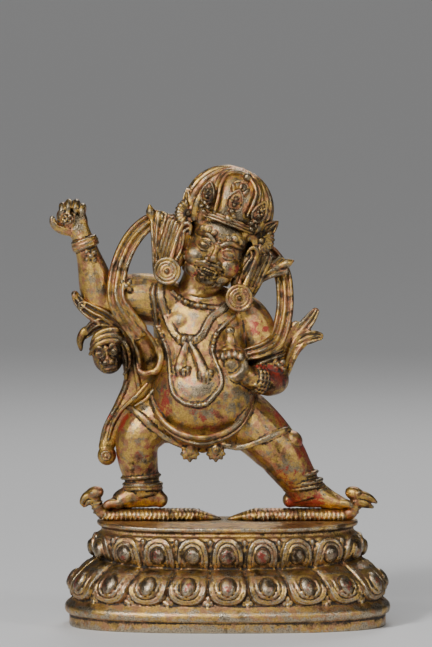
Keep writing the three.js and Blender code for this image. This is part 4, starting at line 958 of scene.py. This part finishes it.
snake(1, 0.5, 0)
snake(-1, -4.5, 2.4)
rods(snakes,
     [[-66, -2, 71.6, 4.8, 7], [-74, -2, 71.8, 4.8, 6.4], [-81, -3, 72.8, 4.4, 5], [-85, -4, 78, 3.6, 4.2],
      [-87, -5, 84, 3.6, 4.2]],
     [[66, -2, 71.6, 4.8, 7], [73, -2, 71.8, 4.8, 6.4], [79.6, -3, 72.8, 4.6, 5], [82.8, -4, 78, 3.8, 4.2],
      [85, -5, 84, 3.6, 4.2]],
     [[-87, -5, 85.6, 3.8, 4.8], [-92, -5, 83.6, 2.9, 3.8], [-94.4, -5, 80, 2, 2.8],
      [-93.6, -5, 77.4, 0.9, 1.4]],
     [[-86, -5, 82, 3, 4], [-90, -5, 80.4, 2.4, 3.4], [-92, -5, 78, 1.2, 1.6]],
     [[83, -5, 84.8, 4, 4.8], [89.4, -5, 83.8, 3, 4], [93.4, -5, 82, 2.4, 3.2], [96.4, -5, 80, 1.2, 1.6]],
     [[83.6, -5, 80.6, 3.6, 4.2], [89, -5, 79, 3, 3.6], [94, -5, 76.8, 1.2, 1.6]])
lump(snakes, (-86.6, -5, 85.6), (6.4, 5.4, 4.6), lean=-0.35, fine=4)
lump(snakes, (82.4, -5, 85.6), (6.2, 5.4, 4.6), lean=0.3, fine=4)
lumps(snakes, *((x, y, z, 1.5, 0.9, 1.4, 3) for x, z in ((-88, 86), (85.4, 86.2)) for y in (-9.8, -0.2)))
for side, neck in ((-1, -83.6), (1, 81.6)):
    for k in range(4):
        hoop(snakes, (neck + side * 0.9 * k, -3.6 - 0.3 * k, 74.6 + 2.4 * k), 3.9, 0.6,
             along=(side * (0.5 - 0.12 * k), -0.15, 1))
cast("cast_snakes", snakes, 0.5, 70000, "vajrapani_figure", figure_bronze, {
    "tarnish_and_shade": [(-20, -6, 70, 24, 0.4), (86, -6, 82, 12, 0.3), (-87, -6, 82, 12, 0.3)]})

# Lotus base
# The hollow-cast oval base has a stepped foot, a row of long petals that hang down, a row of short ones that
# stand up and a thin flat rim. Each petal has a doubled edge, a plain border and an egg boss in a groove.
RIM_HALF = (84.2, 42)
DEPTH_SHARE = 0.85
OVAL_POWER = 2.6
PETALS = 20
SAMPLES = 1440


def oval(angle, step, z):
    """The point of the oval that lies `step` outside the rim, at an angle of its formula."""
    bend = [abs(v) ** (2 / OVAL_POWER) * (1 if v > 0 else -1) for v in (cos(angle), sin(angle))]
    return Vector((bend[0] * (RIM_HALF[0] + step), bend[1] * (RIM_HALF[1] + DEPTH_SHARE * step), z))


turns = [tau * k / SAMPLES - pi / 2 for k in range(SAMPLES + 1)]
walk = [0.0]
for turn, after in zip(turns, turns[1:]):
    walk.append(walk[-1] + (oval(after, 8, 0) - oval(turn, 8, 0)).length)
PITCH = walk[-1] / PETALS

# Height at the front, how much higher at the ends, half width of the petal, and how far its middle, its lip
# and the gap beside it stand outside the rim. Rows without a petal have one number for all round.
PROFILE = [[0, 0, 18.3], [0.8, 0, 18.9], [6.4, 0.6, 18.9], [7.2, 1, 19.6], [8, 1.2, 21.2], [9.6, 1.4, 21.9],
           [11.8, 1.6, 21.7], [13, 1.6, 20.9], [15.4, 1.4, 18.2], [17.2, 1, 3, 16.2, 16.2, 16.2],
           [18, 0.8, 4.6, 16.6, 16.4, 15.7], [19.6, 0.6, 7.6, 17.8, 17.4, 15.2],
           [22, 0.4, 9.6, 18.5, 18, 14.8], [25, 0.2, 10.6, 18.7, 18, 14.6], [29, 0.6, 10.9, 17.6, 16.4, 13.6],
           [33, 1.6, 10.6, 14.6, 12.8, 10.8], [36.4, 3, 10, 10.4, 8.6, 6.6], [38.6, 4.4, 9.4, 4.8, 3.6, 2],
           [39.8, 5, 9, 0.8, 0.4, -0.6], [41, 4.8, 9.2, 1, 0.7, -0.8], [44, 3.6, 9.8, 3.4, 2.5, 0.7],
           [48, 2, 10, 4.7, 3.4, 1.4], [52.4, 0.9, 9.8, 4.9, 3.6, 1.7], [56, 0.4, 8.4, 4, 3.4, 1.6],
           [58.6, 0.2, 5.2, 2.6, 2.4, 1.1], [59.8, 0.2, 2.2, 1, 0.9, 0.4], [60.4, 0.4, -1.2], [61.2, 0.8, -2],
           [62.6, 1.4, -2.2], [63.2, 1.6, -1.4], [63.5, 1.7, 0], [64.2, 1.8, 0.7], [65.4, 2, 0.8],
           [66.1, 2, 0.3], [66.4, 1.6, -1.2], [67.3, 0.7, -12], [68, 0, -24]]
BASE_ROWS = np.array([[*row[:2], 9, *row[2:] * 3] if len(row) == 3 else row for row in PROFILE])


def base_point(around, row, proud=0.0):
    """A place on the cast surface: so many millimetres round from the front, and so far up the rows."""
    height, rise, half, middle, lip, gap = (np.interp(row, np.arange(len(BASE_ROWS)), BASE_ROWS[:, k])
                                            for k in range(6))
    angle = np.interp(around % walk[-1], walk, turns)
    across = abs((around + PITCH / 2) % PITCH - PITCH / 2)
    swell = lip + (middle - lip) * max(1 - (across / half) ** 2, 0) ** 0.5
    edge = min(max((across - half) / 0.9, 0), 1)
    out = swell + (gap - swell) * edge * edge * (3 - 2 * edge)
    return oval(angle, out + proud, height + rise * abs(cos(angle)) ** 3)


def row_at(z):
    return np.interp(z, BASE_ROWS[:, 0], np.arange(len(BASE_ROWS)))


base = bmesh.new()
AROUND = PETALS * 32
rows = [*range(10), *np.arange(9.5, 26, 0.25), *range(26, len(BASE_ROWS))]
bmesh.ops.create_circle(base, cap_ends=True, segments=AROUND, radius=MM)
lid = next(iter(base.faces))
for number, row in enumerate(rows):
    if number:
        lid = extruded(base, lid)
    for k, corner in enumerate(lid.verts):
        corner.co = base_point(k * walk[-1] / AROUND, row) * MM
bmesh.ops.recalc_face_normals(base, faces=base.faces)


def petal_trim(around):
    """The raised lines, bosses and buds of one petal of each row, at its place round the base."""
    trim = bmesh.new()
    angle = np.interp(around % walk[-1], walk, turns)
    out = (oval(angle, 30, 0) - oval(angle, 0, 0)).normalized()
    turned = Matrix.Rotation(atan2(out.x, -out.y), 4, "Z")

    def line(stations, wire, proud=0.25):
        places = [base_point(around + across, row_at(z), proud) for across, z in stations]
        rod(trim, [[*place, wire] for place in places], section=ROUND[::2], steps=4, front=out)

    def egg(across, z, radii, proud=0.0, nod=0.0, fine=3):
        place = base_point(around + across, row_at(z), proud) * MM
        bmesh.ops.create_icosphere(trim, subdivisions=fine, radius=1,
                                   matrix=Matrix.Translation(place) @ turned @ Matrix.Rotation(nod, 4, "X")
                                   @ Matrix.Diagonal((*(Vector(radii) * MM), 1)))

    def loop(half, low, high, wire):
        """A U whose arms rise to `high`, for a hanging petal, or an arch where `high` is the lower number."""
        bend = 0.32 * (high - low) if high > low else -0.42 * (low - high)
        side = [(half * 0.93, high), (half, low + 1.9 * bend), (half * 0.94, low + 1.1 * bend),
                (half * 0.72, low + 0.42 * bend), (half * 0.4, low + 0.1 * bend)]
        line([(-x, z) for x, z in side] + [(0, low)] + side[::-1], wire)

    for half, low, high, wire in ((10.5, 18.6, 38.4, 0.62), (9, 20.2, 38.2, 0.42), (6.5, 22.6, 37.6, 0.5),
                                  (10, 59.4, 41, 0.6), (8.6, 58, 41.4, 0.42), (6.4, 55.4, 42, 0.5)):
        loop(half, low, high, wire)
    egg(0, 29.8, (5, 3, 6.6), proud=-0.3, nod=-0.55, fine=4)
    for side in LEFT_AND_RIGHT:
        line([(side * 4.6, 26.4), (side * 3, 23.6), (side * 0.8, 24), (side * 1.4, 25.6)], 0.5, proud=0.9)
    egg(0, 48.2, (5, 3, 5.4), proud=-0.4, nod=0.15, fine=4)
    # Buds between the hanging petals, and the tips of the leaves behind the standing ones.
    gap = PITCH / 2
    egg(gap, 21.4, (1.7, 1.4, 2.6), proud=0.4)
    for across in (-1.8, 1.8):
        egg(gap + across, 19.2, (1.2, 1.1, 1.5), proud=0.3)
    egg(gap, 17.8, (1.1, 1.1, 1.4), proud=0.5)
    line([(gap, 23), (gap, 34)], 0.45, proud=0.5)
    egg(gap, 57, (1.6, 1.3, 2.2), proud=0.5)
    line([(gap, 41.6), (gap, 55)], 0.45, proud=0.4)
    pour(base, trim)


for number in range(PETALS):
    petal_trim(number * PITCH)
base_bronze = worn_gilding_with_painted_shade("base_bronze", (0.6, 0.375, 0.105), (0.43, 0.23, 0.115), (0.34, 0.28, 0.195))
bosses = [base_point(number * PITCH, row_at(height), 2) for number in range(PETALS)
          for height in (29.8, 48.2)]
FOOT_STEP = 8
foot_walk = [FOOT_STEP * k for k in range(int(walk[-1] / FOOT_STEP))]
worn_foot = [(*base_point(run, row_at(5)), FOOT_STEP, 0.3) for run in foot_walk]
bright_foot = [(*base_point(run, row_at(4)), FOOT_STEP, -0.3) for run in foot_walk]
dark_bosses = [(*place, 11, 0.5) for place in bosses[1::2]] + [(*place, 5, 0.3) for place in bosses[::2]]
cast("lotus_base_cast", base, 0.6, 190000, "lotus_base", base_bronze, {
    "lacquer": [(*bosses[k], 5, 0.34 + 0.16 * sin(2.4 * k)) for k in range(len(bosses))],
    "rubbed": [(*place, 5, 0.45) for place in bosses] + worn_foot,
    "tarnish_and_shade": dark_bosses + bright_foot})
